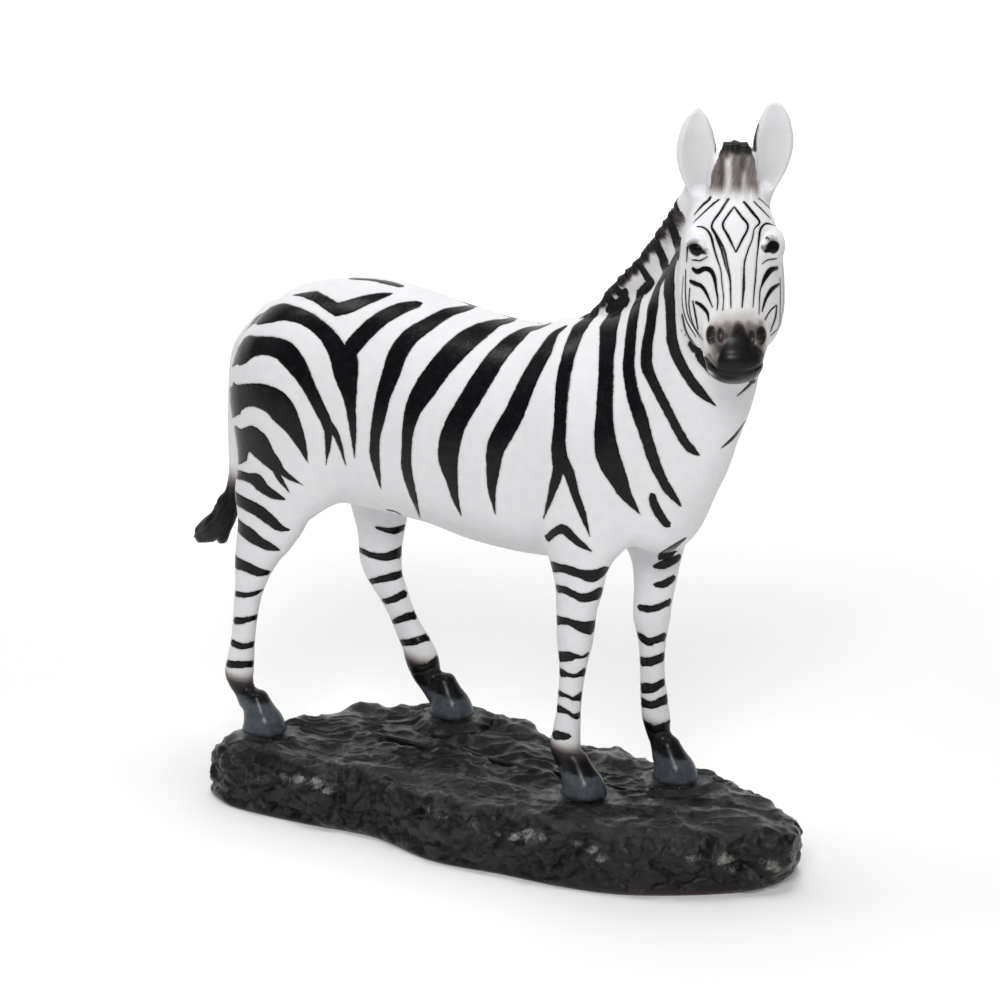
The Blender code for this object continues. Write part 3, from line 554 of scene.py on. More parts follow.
# Painted stripes as brush strokes: places along the middle of each, in pixels of the camera above, and the full width.
BODY = [
    [(350, 278.5, 3), (362, 279, 5), (374, 280, 6), (388, 282.5, 6.5), (402, 286.5, 5)],
    [(293, 295, 1), (304, 294.5, 5), (315, 296, 9), (328, 304, 12), (338, 310, 13)],
    [(334, 310, 12), (350, 306, 13), (366, 300, 10), (380, 296, 7), (392, 293.5, 2)],
    [(246, 330, 9), (253, 322, 12), (265, 315, 14), (284, 312, 15), (306, 318.5, 15), (323, 331, 16), (334, 345, 18), (340, 358, 20)],
    [(420, 303.5, 6), (405, 307, 11), (388, 314.5, 14), (372, 326, 16), (359, 339, 17), (350, 350, 17)],
    [(344, 354, 24), (345, 364, 27), (346.5, 378, 23), (349, 392, 16), (351, 410, 10), (353, 430, 7), (354.5, 458, 0.5)],
    [(231, 361, 14), (236, 356, 16), (243, 350.5, 18), (257.5, 346, 18), (274.5, 347, 20), (287, 354, 22), (299, 369, 19), (308.5, 386, 14), (318, 405, 12), (325.5, 420, 11), (329, 430, 10)],
    [(328.5, 426, 9), (328, 444, 6), (326, 465.7, 0.5)],
    [(329, 424, 8), (337.5, 438, 6), (346, 465.7, 0.5)],
    [(230, 404, 22), (238, 398, 24), (252.7, 395, 23), (269.7, 400, 25), (282, 411, 26), (292.7, 427, 18), (301, 444, 10), (308, 463, 0.5)],
    [(236, 447, 22), (246.6, 440, 24), (257.5, 444, 22), (267, 456, 17), (275.7, 465.7, 13), (280, 471, 9)],
    [(278, 467, 8), (286.6, 475.4, 6), (303.6, 485.6, 0.5)],
    [(275, 466, 8), (279.4, 478, 6), (290, 493, 0.5)],
    [(249, 478, 8), (257.5, 481.5, 13), (265, 489, 10), (274.5, 495, 8), (285.4, 499.6, 2)],
    [(241.5, 477.5, 6), (245, 477.5, 6)],
    [(249, 506, 11), (260, 512, 12), (270, 520, 11), (279.4, 527.5, 8), (290, 530, 1)],
    [(242, 529, 9), (250, 535, 12), (260, 542, 10), (270, 547, 8), (280.6, 550.5, 1)],
    [(233, 548, 4), (235, 556, 6), (238, 563, 6)],
    [(476, 305.5, 4), (462, 309, 8), (446.6, 313, 10), (427, 325, 14), (410, 337, 17), (398, 354, 19), (391, 373.6, 18), (383.6, 395.4, 15), (378.7, 417, 13), (375, 439, 10), (375, 458.4, 9), (380.7, 489, 0.5)],
    [(517, 317, 5), (506, 321, 8), (492.6, 324, 11), (471, 337, 20), (454, 352, 23), (439, 369, 23), (427, 386, 23), (415, 405, 18), (409, 424.5, 13), (406.6, 446, 10), (406.6, 468, 10), (411.5, 490, 7), (420, 518, 0.5)],
    [(551, 323, 4), (540, 327, 7), (527, 330, 9), (510, 343, 14), (495.4, 359, 18), (481, 381, 21), (466.4, 405, 21), (455.4, 424.5, 21), (449.4, 444, 22), (448, 461, 19), (452, 482.7, 11), (455.4, 499.6, 6), (461.5, 516.6, 0.5)],
    [(566, 326, 3), (553.6, 335, 7), (544, 352, 13), (533, 371, 16), (523, 393, 18), (513.6, 415, 20), (502.7, 434, 21), (495.4, 448.7, 18), (493, 468, 14), (491.8, 490, 8), (495.4, 515.4, 0.5)],
    [(597, 312, 6), (587, 320, 9), (580, 327.6, 11), (573, 342, 12), (567, 361.5, 13), (563, 381, 14), (561, 405, 13), (559.7, 429, 13), (558.5, 448.7, 15), (561, 465, 18)],
    [(560, 462, 14), (557, 475, 11), (551, 495, 7), (543.4, 519, 0.5)],
    [(562, 462, 15), (569.4, 475, 11), (575.4, 495, 8.5), (582.7, 514, 7), (590, 537, 0.5)],
    [(626, 290, 7), (619, 308, 12), (610.6, 322.7, 15), (608, 342, 16), (606.4, 361.5, 15), (605.7, 385.7, 16), (604.5, 410, 17), (604.5, 434, 21), (608, 456, 24), (616.6, 475.4, 20), (626, 495, 12), (641, 515.4, 0.5)],
    [(645, 287, 7), (636, 305.7, 9), (632, 325, 10), (630, 347, 11), (628.7, 366, 12), (632, 390.6, 13), (639.6, 415, 14.5), (647, 439, 12), (653, 458, 12), (661.5, 478, 10), (670, 492, 9), (682, 507, 2)],
    [(668, 268, 7), (658, 286, 8), (653, 305.7, 10), (650.5, 325, 10), (647, 347, 11), (647, 366, 12), (655, 385.7, 10), (665, 405, 10), (675, 424.5, 9), (684.5, 441.5, 9), (692, 450, 8), (700, 456, 1)],
    [(679, 250, 7), (671, 269, 10), (668.7, 289, 11), (670, 305.7, 10), (671, 325, 10), (672.4, 342, 11), (678.4, 359, 11), (688, 376, 10), (699, 390.6, 10), (716, 406.3, 1)],
    [(682, 314.7, 3), (686, 331.5, 4), (693, 344, 6), (701.7, 356.8, 7), (710, 366.6, 6), (715.8, 371.5, 3), (722, 378, 2)],
    [(746, 419.7, 2), (735.4, 435.4, 4), (721, 448.7, 1)],
    [(758, 369, 3), (752, 382, 3), (736.6, 396.6, 1)],
    [(651.8, 494.8, 7), (655.4, 507, 9), (662.7, 519, 9), (669, 526, 7)],
]

# The bands round each leg, from the hock or knee down.
BANDS = {
    "hind_right": [
        [(234, 562, 9), (247, 567, 10), (258, 572, 9), (269, 573, 4)],
        [(235.5, 594, 5.5), (245, 595, 5.5), (252.7, 594, 5), (263, 590, 2)],
        [(232.6, 620.7, 7), (241, 620.7, 7), (257.5, 617, 4)],
        [(231.7, 642.7, 6.5), (243, 646.5, 6.5), (254.6, 643.7, 5)],
        [(227, 663.7, 7.5), (239, 664.7, 7.5), (254.6, 663.7, 6)],
    ],
    "hind_left": [
        [(387, 510, 3), (394.6, 511.5, 3.5), (401, 515, 2)],
        [(374.7, 527, 2), (386, 530, 5), (395.5, 530.5, 7), (406, 526.5, 4)],
        [(360.6, 550.5, 4), (373, 555.5, 6), (386, 557, 8), (401, 552, 10)],
        [(369, 582, 5), (383, 578.7, 7), (394.6, 576, 8), (403, 573, 6)],
        [(382, 602, 5), (393, 599.4, 7), (406, 593, 8)],
        [(391, 622.6, 3), (396, 621, 6), (406, 617, 8), (417, 615, 8)],
        [(399.6, 643, 6), (413, 641.7, 7.5), (426, 637.5, 7.5), (430, 637, 7)],
        [(408.7, 670, 6.5), (423, 668, 7), (434.4, 662.4, 8), (439.4, 659, 8)],
    ],
    "fore_right": [
        [(546.5, 539, 7), (555, 532, 8), (563, 529, 9), (573, 538, 8), (583, 545.7, 6), (592, 551.6, 1)],
        [(551.4, 566.5, 8), (567, 569.4, 8), (579, 573.4, 9), (593, 576, 12), (607.7, 569.4, 6)],
        [(554, 588, 6), (565, 590, 7), (575, 595, 7), (585, 598, 9), (601, 593, 10)],
        [(557, 620, 8), (569, 622, 7), (583, 627, 11), (595, 627.7, 14)],
        [(559, 656.5, 9), (569, 656.5, 10), (577, 656.5, 4), (582, 657.4, 3), (589, 653.5, 3)],
        [(560, 672, 7), (569, 675, 4), (576, 675.5, 4), (585, 672, 7)],
        [(559, 693, 5), (569, 697, 3.5), (573, 699, 4), (581.5, 696, 8)],
        [(557.7, 708, 7), (569, 713, 4), (573, 716, 4), (581, 715.7, 8)],
        [(553.4, 734.5, 9), (562, 736, 8), (570, 736.5, 5)],
    ],
    "fore_left": [
        [(660, 558.5, 7), (668, 551.6, 9), (685, 538.8, 4)],
        [(653, 566.5, 3), (664, 564.5, 9), (680, 557.6, 6)],
        [(654, 585, 4), (664, 584, 8), (674, 578.3, 6)],
        [(638.4, 607, 6), (652, 609, 7), (670, 602, 6)],
        [(637.4, 634.7, 5), (648, 641.6, 8), (654, 640.6, 7), (665, 636.6, 8)],
        [(640.4, 661.4, 9), (652, 661.4, 9), (664, 656.4, 7)],
        [(641, 688, 10), (652, 688, 10), (664, 682, 6)],
        [(641, 702, 7), (652, 705, 8), (667, 699, 9)],
        [(642.3, 721.7, 5), (652, 729, 8), (660, 728, 8), (670, 725.6, 10)],
    ],
}

# Bands that cross the side of the mane.
CREST = [
    [(669, 219, 5), (672, 227, 8), (676, 238, 8.5), (679, 248, 9), (679, 257, 8)],
    [(652, 236, 5), (656, 244, 7.5), (661, 254, 8.5), (665, 264, 8.5), (665, 272, 8)],
    [(636, 261, 4), (642, 269, 6), (647, 277, 7), (651, 284, 8), (646, 291, 8)],
    [(614, 287, 6), (620, 293, 8), (625, 299, 9), (624, 304, 9)],
    [(603, 296, 5), (609, 299, 9), (612, 304, 8), (607, 311, 5)],
]

FACE_LINES = [
    [(734.3, 206.7, 2), (741, 216, 2.6), (748, 226.3, 2.3), (742, 240, 2.4), (735.8, 252.3, 1.6)],
    [(734.3, 206.7, 2), (728, 215, 2.2), (722.8, 225, 2.3), (728.6, 237, 2.8), (735.8, 252.3, 1.6)],
    [(729, 198, 2.5), (720.7, 211, 2.5), (711.8, 225, 2.1), (716.5, 236, 3.6), (722.8, 250, 5), (726.3, 264, 4.2), (729.8, 278, 2.4), (730.5, 289.4, 2), (731, 308.4, 1.3)],
    [(743.8, 201.7, 2.5), (752, 211.6, 3), (759.5, 222, 2.2), (754.4, 229, 1.6), (752, 240, 1.6), (748, 250, 1.6), (744.5, 262.8, 2), (743.8, 278, 2.6), (743.5, 289.4, 3), (742, 307.7, 1.6)],
    [(719, 199, 2.2), (707, 209.5, 1.6), (696, 220, 1.1), (693, 223.5, 0.8)],
    [(711, 197.5, 3.4), (701.7, 206, 2.8), (694, 215, 1.4)],
    [(753.7, 201.7, 1.2), (762, 209.5, 1.6), (770.5, 218.6, 1.2)],
    [(759, 198, 0.9), (766, 204.6, 1.2), (773, 211, 0.9)],
    [(697, 226.5, 1), (702, 227, 1.8), (706.5, 229.5, 2.3), (710.9, 236, 2.6), (713.7, 247, 2.3), (717, 258.6, 1.9), (720.7, 269.8, 1.5), (722, 283.8, 1.3), (723.5, 296.5, 1.3), (722.8, 310.5, 0.9)],
    [(775, 225.6, 1), (766.3, 223.5, 1.9), (760.7, 229, 2.6), (759, 239, 2.2), (757.9, 250, 1.6), (756.5, 261.4, 1.4), (755.8, 275.4, 1.5), (754.4, 289.4, 1.5), (753, 307.7, 0.9)],
    [(692, 260, 1.3), (700, 260.5, 1.8), (708, 256.5, 1)],
    [(692, 268.4, 2.6), (697.5, 271.5, 5.5), (704.5, 268.8, 5), (710.5, 270.5, 5), (714.4, 278, 4), (716.5, 290.8, 2.4), (717.9, 300.7, 1.6), (716.9, 310.5, 1)],
    [(689.8, 281, 3.6), (696, 283.8, 4.8), (701.7, 286.5, 4), (706.6, 293.7, 3), (712.7, 307.7, 1)],
    [(692.6, 300.7, 1.6), (695.4, 314.7, 2), (698, 330, 1.4)],
    [(695.4, 302, 3), (701.7, 306, 4), (707.3, 313, 3), (708.8, 321.7, 1)],
    [(683.5, 276, 1), (682, 300.7, 1.3), (686.3, 320, 1.3), (696, 337, 1)],
    [(685.6, 269.8, 1.4), (685.6, 297.9, 1.4), (689, 317.5, 1.3), (700.3, 338.6, 0.9)],
    [(689.8, 288, 1.3), (689, 306.3, 1.4), (693.3, 324.5, 1.3), (703, 340, 0.9)],
    [(687.5, 246, 2), (686.5, 262, 1.4)],
    [(762, 264, 1), (767.7, 260, 1.5), (776.8, 258.6, 1.2)],
    [(778, 267.7, 3), (770.5, 270.5, 5.5), (765.6, 276.8, 4.6), (762, 285, 2.2), (760, 292, 1.4), (759, 314.7, 1)],
    [(779.6, 283.8, 2), (771.9, 289.4, 4), (766.3, 297.9, 3), (763.5, 306.3, 2), (762, 312, 1)],
    [(776.8, 304.9, 1.2), (770.5, 310.5, 1.6), (764.9, 320, 1.2)],
    [(776.8, 305.6, 1.6), (775.4, 317.5, 2), (770.5, 331.5, 1.4)],
    [(780.3, 278, 1.3), (780.3, 306.3, 1.4), (778.9, 326, 1.3), (770.5, 335.7, 1)],
    [(782.6, 262, 1), (783.2, 280, 1.2), (783, 306, 1.2), (779.8, 326, 0.9)],
]
ALMONDS = [  # the painted eyes
    [(687.5, 245), (691, 243.3), (697, 243.2), (701.5, 246.5), (706.8, 253.8), (701.5, 254.5), (697.5, 256.5), (692.5, 254.8), (689, 250.5)],
    [(779, 243), (774.5, 240.2), (770, 240.6), (766.5, 244.8), (764, 252.6), (769.5, 252.8), (773.5, 254), (777.5, 251.8), (779.6, 247.5)],
]


PX = 3.0  # pixels to a millimetre at the figurine


def dense(rows, step):
    """A stroke sampled at even steps, in pixels."""
    path = spline(rows, 12) if len(rows) > 2 else spline([rows[0], np.add(rows[0], rows[1]) / 2, rows[1]], 12)
    arc = np.concatenate([[0], np.cumsum(np.linalg.norm(np.diff(path[:, :2], axis=0), axis=1))])
    at = np.linspace(0, arc[-1], max(int(arc[-1] / step) + 1, 3))
    return np.stack([np.interp(at, arc, path[:, k]) for k in range(3)], 1)


def on_skin(tree, rows, step, least=0.12, drop=False):
    """The stroke laid on the skin as seen by the camera: places, normals, half widths. With drop, a place above the back's outline comes down to it."""
    path = dense(rows, step)
    along = unit(np.gradient(path[:, :2], axis=0))
    out = []
    for (u, v, w), (du, dv) in zip(path, along):
        p, n = hit(tree, u, v)
        for k in (1.5, 3, 5, 7, 9) if drop else ():
            if p is None:
                p, n = hit(tree, u, v + k)
        if p is None:
            continue
        half = max(w / 2 / PX, least)
        ends = [hit(tree, u - dv * w / 2 * k, v + du * w / 2 * k)[0] for k in (-1, 1)]
        found = [end for end in ends if end is not None]
        if found:
            span = np.linalg.norm(ends[0] - ends[1]) / 2 if len(found) == 2 else np.linalg.norm(found[0] - p)
            half = min(max(span, 0.9 * half), 1.7 * half if len(found) == 2 else 1.35 * half)
        out.append((*p, *n, half))
    return np.array(out).reshape(-1, 7)


def snapped(tree, P):
    out = []
    for p in P:
        q, n, _, _ = tree.find_nearest(Vector(p))
        out.append((*q, *n))
    return np.array(out).reshape(-1, 6)


def middle(P):
    """Where the animal's own mid-plane lies at each point: straight in the trunk, turning with the neck."""
    return np.where(P[:, 0] > 20, np.interp(P[:, 2], (146, 156, 165, 176, 187, 200, 212, 222), (0, 0, -1, -2.5, -4.5, -6.5, -8, -9)), 0.0)


def seen(tree, P, N):
    """Whether the camera sees each point of the skin."""
    out = []
    for p, n in zip(P, N):
        back = unit(EYE - p)
        if np.dot(n, back) < 0.08:
            out.append(False)
        else:
            out.append(tree.ray_cast(Vector(p + n * 0.6), Vector(back))[0] is None)
    return np.array(out, bool)


def runs(rows, keep):
    """The stretches of a stroke that are kept, each narrowed towards a cut end."""
    out, now = [], []
    for row, k in zip(rows, list(keep)):
        if k:
            now.append(row)
        elif now:
            out.append(now)
            now = []
    if now:
        out.append(now)
    return [np.array(r) for r in out if len(r) > 3]


def mirrored(tree, S):
    """The same stroke on the animal's other side, where the camera can't see it."""
    Q = S[:, :3].copy()
    Q[:, 1] = 2 * middle(Q) - Q[:, 1]
    T = snapped(tree, Q)
    far = np.linalg.norm(T[:, :3] - Q, axis=1)
    hidden = ~seen(tree, T[:, :3], T[:, 3:]) & (far < 5)
    return runs(np.hstack([T, S[:, 6:7]]), hidden)


def round_leg(tree, S, stations):
    """A leg's band carried round the side that the camera can't see."""
    axis = spline([s[:3] for s in stations], 8)
    j = np.abs(axis[None, :, 2] - S[:, 2:3]).argmin(1)
    flat = unit(BACK * (1, 1, 0))
    q = S[:, :3] - axis[j]
    Q = S[:, :3] - 2 * (q @ flat)[:, None] * flat
    T = snapped(tree, Q)
    near = np.linalg.norm(T[:, :3] - Q, axis=1) < 3.5
    return runs(np.hstack([T, S[:, 6:7]]), near)


def carried_on(tree, S, length, step=0.8, droop=0.0):
    """The stroke's first end marched on over the skin, past what the camera sees, towards the mid-plane."""
    p, n = S[0, :3], S[0, 3:6]
    way = unit(S[0, :3] - S[min(3, len(S) - 1), :3])
    half, out = S[0, 6], []
    for k in range(int(length / step)):
        way = unit(way + np.array((0, 0, -droop)))
        half *= 0.995
        way = unit(way - np.dot(way, n) * n)
        q, m, _, _ = tree.find_nearest(Vector(p + way * step))
        q, m = np.array(q), np.array(m)
        if q[1] > middle(q[None])[0] + 0.5 or np.linalg.norm(q - p) < 0.3 * step:
            break
        out.append((*q, *m, half))
        way, p, n = unit(q - p), q, m
    return np.vstack([np.array(out[::-1]).reshape(-1, 7), S])


def laid(P, N, S, margin):
    """How each vertex lies to a stroke: its sideways place, the stroke's half width there, and which vertices count."""
    reach = S[:, 6].max() + margin + 1
    lo, hi = S[:, :3].min(0) - reach, S[:, :3].max(0) + reach
    near = np.nonzero(((P > lo) & (P < hi)).all(1))[0]
    if not len(near) or len(S) < 2:
        return near[:0], None, None
    q = P[near]
    a, b = S[:-1], S[1:]
    ab = b[:, :3] - a[:, :3]
    L2 = np.maximum((ab**2).sum(1), 1e-9)
    raw = (q @ ab.T - (a[:, :3] * ab).sum(1)[None]) / L2[None]
    t = np.clip(raw, 0, 1)
    d2 = (q**2).sum(1)[:, None] - 2 * q @ a[:, :3].T + (a[:, :3] ** 2).sum(1)[None]
    d2 = d2 + t * t * L2[None] - 2 * t * raw * L2[None]
    j = d2.argmin(1)
    i = np.arange(len(near))
    tj, rj = t[i, j], raw[i, j]
    way = unit(ab)[j]
    foot = a[j, :3] + ab[j] * tj[:, None]
    n = unit(a[j, 3:6] * (1 - tj)[:, None] + b[j, 3:6] * tj[:, None])
    half = a[j, 6] * (1 - tj) + b[j, 6] * tj
    off = q - foot
    on = (off * way).sum(1)
    side = off - on[:, None] * way
    s = np.linalg.norm(side, axis=1) * np.sign((side * np.cross(n, way)).sum(1))
    past = np.where((j == 0) & (rj < 0), -rj * np.sqrt(L2[0]), 0) + np.where((j == len(a) - 1) & (rj > 1), (rj - 1) * np.sqrt(L2[-1]), 0)
    half = half - past * 1.6
    good = ((N[near] * n).sum(1) > 0.15) & (np.abs(s) < np.maximum(half, 0) + margin) & (past < margin)
    return near[good], s[good], half[good]


def channels(P, N, E, strokes, most):
    """Strokes shared out over a few channels so that two in one channel never meet: sideways place and half width for each vertex."""
    taken, made = [], []
    for S, margin in strokes:
        at, s, half = laid(P, N, S, margin)
        if not len(at):
            continue
        zone = np.zeros(len(P), bool)
        zone[at] = True
        wide = zone.copy()
        wide[E[zone[E[:, 0]], 1]] = True
        wide[E[zone[E[:, 1]], 0]] = True
        for c in range(most):
            if c == len(taken):
                taken.append(np.zeros(len(P), bool))
                made.append((np.zeros(len(P)), np.full(len(P), -2.0)))
            if not (taken[c] & wide).any():
                taken[c] |= zone
                made[c][0][at] = s
                made[c][1][at] = half
                break
        else:
            print("no channel left for a stroke at", S[len(S) // 2, :3].round(1))
    return made


def inside(u, v, outline):
    """Signed distance, in pixels, into a closed outline: positive inside."""
    poly = spline([(*p,) for p in outline], 8, closed=True)
    a, b = poly, np.roll(poly, -1, 0)
    q = np.stack([u, v], 1)
    ab = b - a
    t = np.clip(((q[:, None] - a[None]) * ab[None]).sum(2) / np.maximum((ab**2).sum(1), 1e-9), 0, 1)
    d = np.linalg.norm(q[:, None] - a[None] - t[:, :, None] * ab[None], axis=2).min(1)
    over = (a[None, :, 1] > v[:, None]) != (b[None, :, 1] > v[:, None])
    with np.errstate(divide="ignore", invalid="ignore"):
        cross = u[:, None] < a[None, :, 0] + (v[:, None] - a[None, :, 1]) * ab[None, :, 0] / ab[None, :, 1]
    return np.where((over & cross).sum(1) % 2 == 1, d, -d)


def near_line(u, v, rows):
    """Distance in pixels to a line, less its half width there."""
    path = dense(rows, 1.0)
    q = np.stack([u, v], 1)
    d = np.linalg.norm(q[:, None] - path[None, :, :2], axis=2)
    j = d.argmin(1)
    return d[np.arange(len(q)), j] - path[j, 2] / 2


EYE_LINES = {  # upper and lower lids of both eyes, in pixels, with each one's thickness in mm
    "upper": ([(686, 249), (687.6, 244.6), (691, 241.6), (697, 240.9), (702, 243.8), (705.4, 248.6), (709.5, 255.5)], [(780.8, 247.5), (779, 241.6), (774.8, 238.2), (769.6, 238.4), (765.6, 242.8), (763, 248.5), (761.3, 255)], 0.85),
    "lower": ([(687.5, 251), (690.5, 255.8), (697, 258.6), (703, 257), (709, 255.8)], [(780, 249.5), (777.6, 253.6), (772, 256), (766.5, 255.2), (761.6, 254.9)], 0.5),
}
LID_FOLDS = [[(686, 240), (689.5, 234.5), (695, 231.5), (701, 232.5), (705.5, 237.5), (708, 244)], [(781, 238), (777.5, 232), (772.5, 229), (767, 230.8), (763.4, 236), (761.6, 243)]]
MOUTH = [(37, 11.4, -4.6), (42, 10.9, -3.6), (46.5, 10.2, -1.6), (50.2, 9.2, 0.9), (53.2, 7.7, 3.4), (55.2, 5.3, 4.7), (56.2, 2.6, 5.2), (56.4, 0, 5.3)]


def head_of(P):
    """Places in the head's own frame: along the face, towards the animal's left, out of the face."""
    q = P - np.array(HEAD_AT)
    return q @ ALONG, q @ ACROSS, q @ OUT


def tree_of(P, polys):
    return BVHTree.FromPolygons([tuple(p) for p in P], polys)


def head_details(tree):
    """Lids, eyeballs, nostrils and the mouth, laid on the head: solids, hollows and grooves."""
    more, less, marks = [], [], []
    for at in ((697.4, 249.4), (771.6, 247.2)):
        p, n = hit(tree, *at)
        more.append(Ball(p - n * 2.25, (3.3, 3.3, 3.1), blend=0.7))
    for name, thick in (("upper", 0.85), ("lower", 0.5)):
        for line in EYE_LINES[name][:2]:
            got = [hit(tree, *p) for p in line]
            got = [(p, n) for p, n in got if p is not None]
            share = np.sin(np.linspace(0.25, math.pi - 0.25, len(got))) ** 0.6
            rows = [(*(p + n * 0.35), thick * k, thick * k, thick * k) for (p, n), k in zip(got, share)]
            more.append(Sweep(rows, got[len(got) // 2][1], per=3, blend=0.9))
    for line in LID_FOLDS:
        got = [hit(tree, *p)[0] for p in line]
        marks.append((spline([p for p in got if p is not None], 6), 0.45, 0.35))
    for u, v, radii, deep in ((711.6, 335.7, (2.7, 1.15, 1.7), 0.2), (761.4, 335.7, (2.7, 1.25, 1.7), 0.2), (720.9, 335.5, (2.6, 1.3, 1.0), 0.1), (751.4, 338.5, (2.3, 1.3, 1.0), 0.1)):
        p, n = hit(tree, u, v)
        lie = unit(ALONG - np.dot(ALONG, n) * n)
        less.append(Ball(p - n * deep, radii, (lie, np.cross(n, lie), n), blend=1.0))
    lips = [on_head(a, s, u) for a, s, u in MOUTH] + [on_head(a, -s, u) for a, s, u in MOUTH[-2::-1]]
    marks.append((spline(lips, 8), 0.6, 0.85))
    return more, less, marks


def finer(P, faces, chosen):
    """Splits each chosen face in four, and its neighbours where they meet it."""
    bm = bmesh.new()
    verts = [bm.verts.new(p) for p in P]
    for f in faces:
        bm.faces.new([verts[i] for i in f])
    bm.faces.ensure_lookup_table()
    edges = {e for f, c in zip(bm.faces, chosen) if c for e in f.edges}
    bmesh.ops.subdivide_edges(bm, edges=list(edges), cuts=1, use_grid_fill=True)
    bmesh.ops.triangulate(bm, faces=[f for f in bm.faces if len(f.verts) > 4])
    bm.verts.index_update()
    bm.verts.ensure_lookup_table()
    P = np.array([v.co for v in bm.verts], float)
    E = np.array([[v.index for v in e.verts] for e in bm.edges], np.int32)
    faces = [[v.index for v in f.verts] for f in bm.faces]
    bm.free()
    return P, E, faces


def normals_of(P, faces):
    N = np.zeros_like(P)
    quads = np.array([f for f in faces if len(f) == 4], int).reshape(-1, 4)
    tris = np.array([f for f in faces if len(f) == 3], int).reshape(-1, 3)
    for F, a, b, c, d in ((quads, 0, 1, 2, 3), (tris, 0, 1, 2, 2)):
        if len(F):
            n = np.cross(P[F[:, c]] - P[F[:, a]], P[F[:, d]] - P[F[:, b]]) if F is quads else np.cross(P[F[:, 1]] - P[F[:, 0]], P[F[:, 2]] - P[F[:, 0]])
            for k in range(F.shape[1]):
                np.add.at(N, F[:, k], n)
    return unit(N)


def centres(P, faces):
    return np.array([P[f].mean(0) for f in faces])


def zebra_skin():
    """The whole animal as one closed mesh: points, edges and faces, finer over the head and mane."""
    voxel = 1.3
    adds, hollows, ears = figure()
    mesh = skin(adds, list(zip(ears, hollows)), voxel)
    adds = adds + ears
    P, E = points_of(mesh)
    faces = [list(p.vertices) for p in mesh.polygons]
    P = settle(P, adds, hollows, steps=2)
    for _ in range(3):
        P = settle(relax(relax(P, E), E), adds, hollows)
    more, less, marks = head_details(tree_of(P, faces))
    adds, cuts = adds + more, hollows + less
    eyes = [hit(tree_of(P, faces), *at)[0] for at in ((697.4, 249.4), (771.6, 247.2))]
    for stage in (1, 2):
        C = centres(P, faces)
        a, s, u = head_of(C)
        if stage == 1:
            mane = np.linalg.norm(C[:, None] - np.array([m[:3] for m in MANE])[None], axis=2).min(1) < 9.5
            chosen = ((a > -34) & (a < 62) & (np.abs(s) < 26) & (u > -16 - 0.2 * np.abs(a))) & (C[:, 2] > 176) | (mane & (C[:, 2] > 176))
        else:
            muzzle = (a > 41) & (u > -6) & (np.abs(s) < 13)
            eye = np.min([np.linalg.norm(C - e, axis=1) for e in eyes], 0) < 8.5
            chosen = (muzzle | eye) & (C[:, 2] > 176)
        P, E, faces = finer(P, faces, chosen)
        a, s, u = head_of(P)
        if stage == 1:
            mane = np.linalg.norm(P[:, None] - np.array([m[:3] for m in MANE])[None], axis=2).min(1) < 11
            touched = ((a > -36) & (a < 64) & (np.abs(s) < 28) & (u > -18 - 0.2 * np.abs(a)) | mane) & (P[:, 2] > 174)
        else:
            touched = ((a > 39.5) & (u > -7.5) & (np.abs(s) < 14.5) | (np.min([np.linalg.norm(P - e, axis=1) for e in eyes], 0) < 10)) & (P[:, 2] > 174)
        for _ in range(2):
            Q = relax(relax(P, E), E)
            P[touched] = settle(Q[touched], adds, cuts, marks)
    P[touched] = settle(P[touched], adds, cuts, marks)
    return P, E, faces


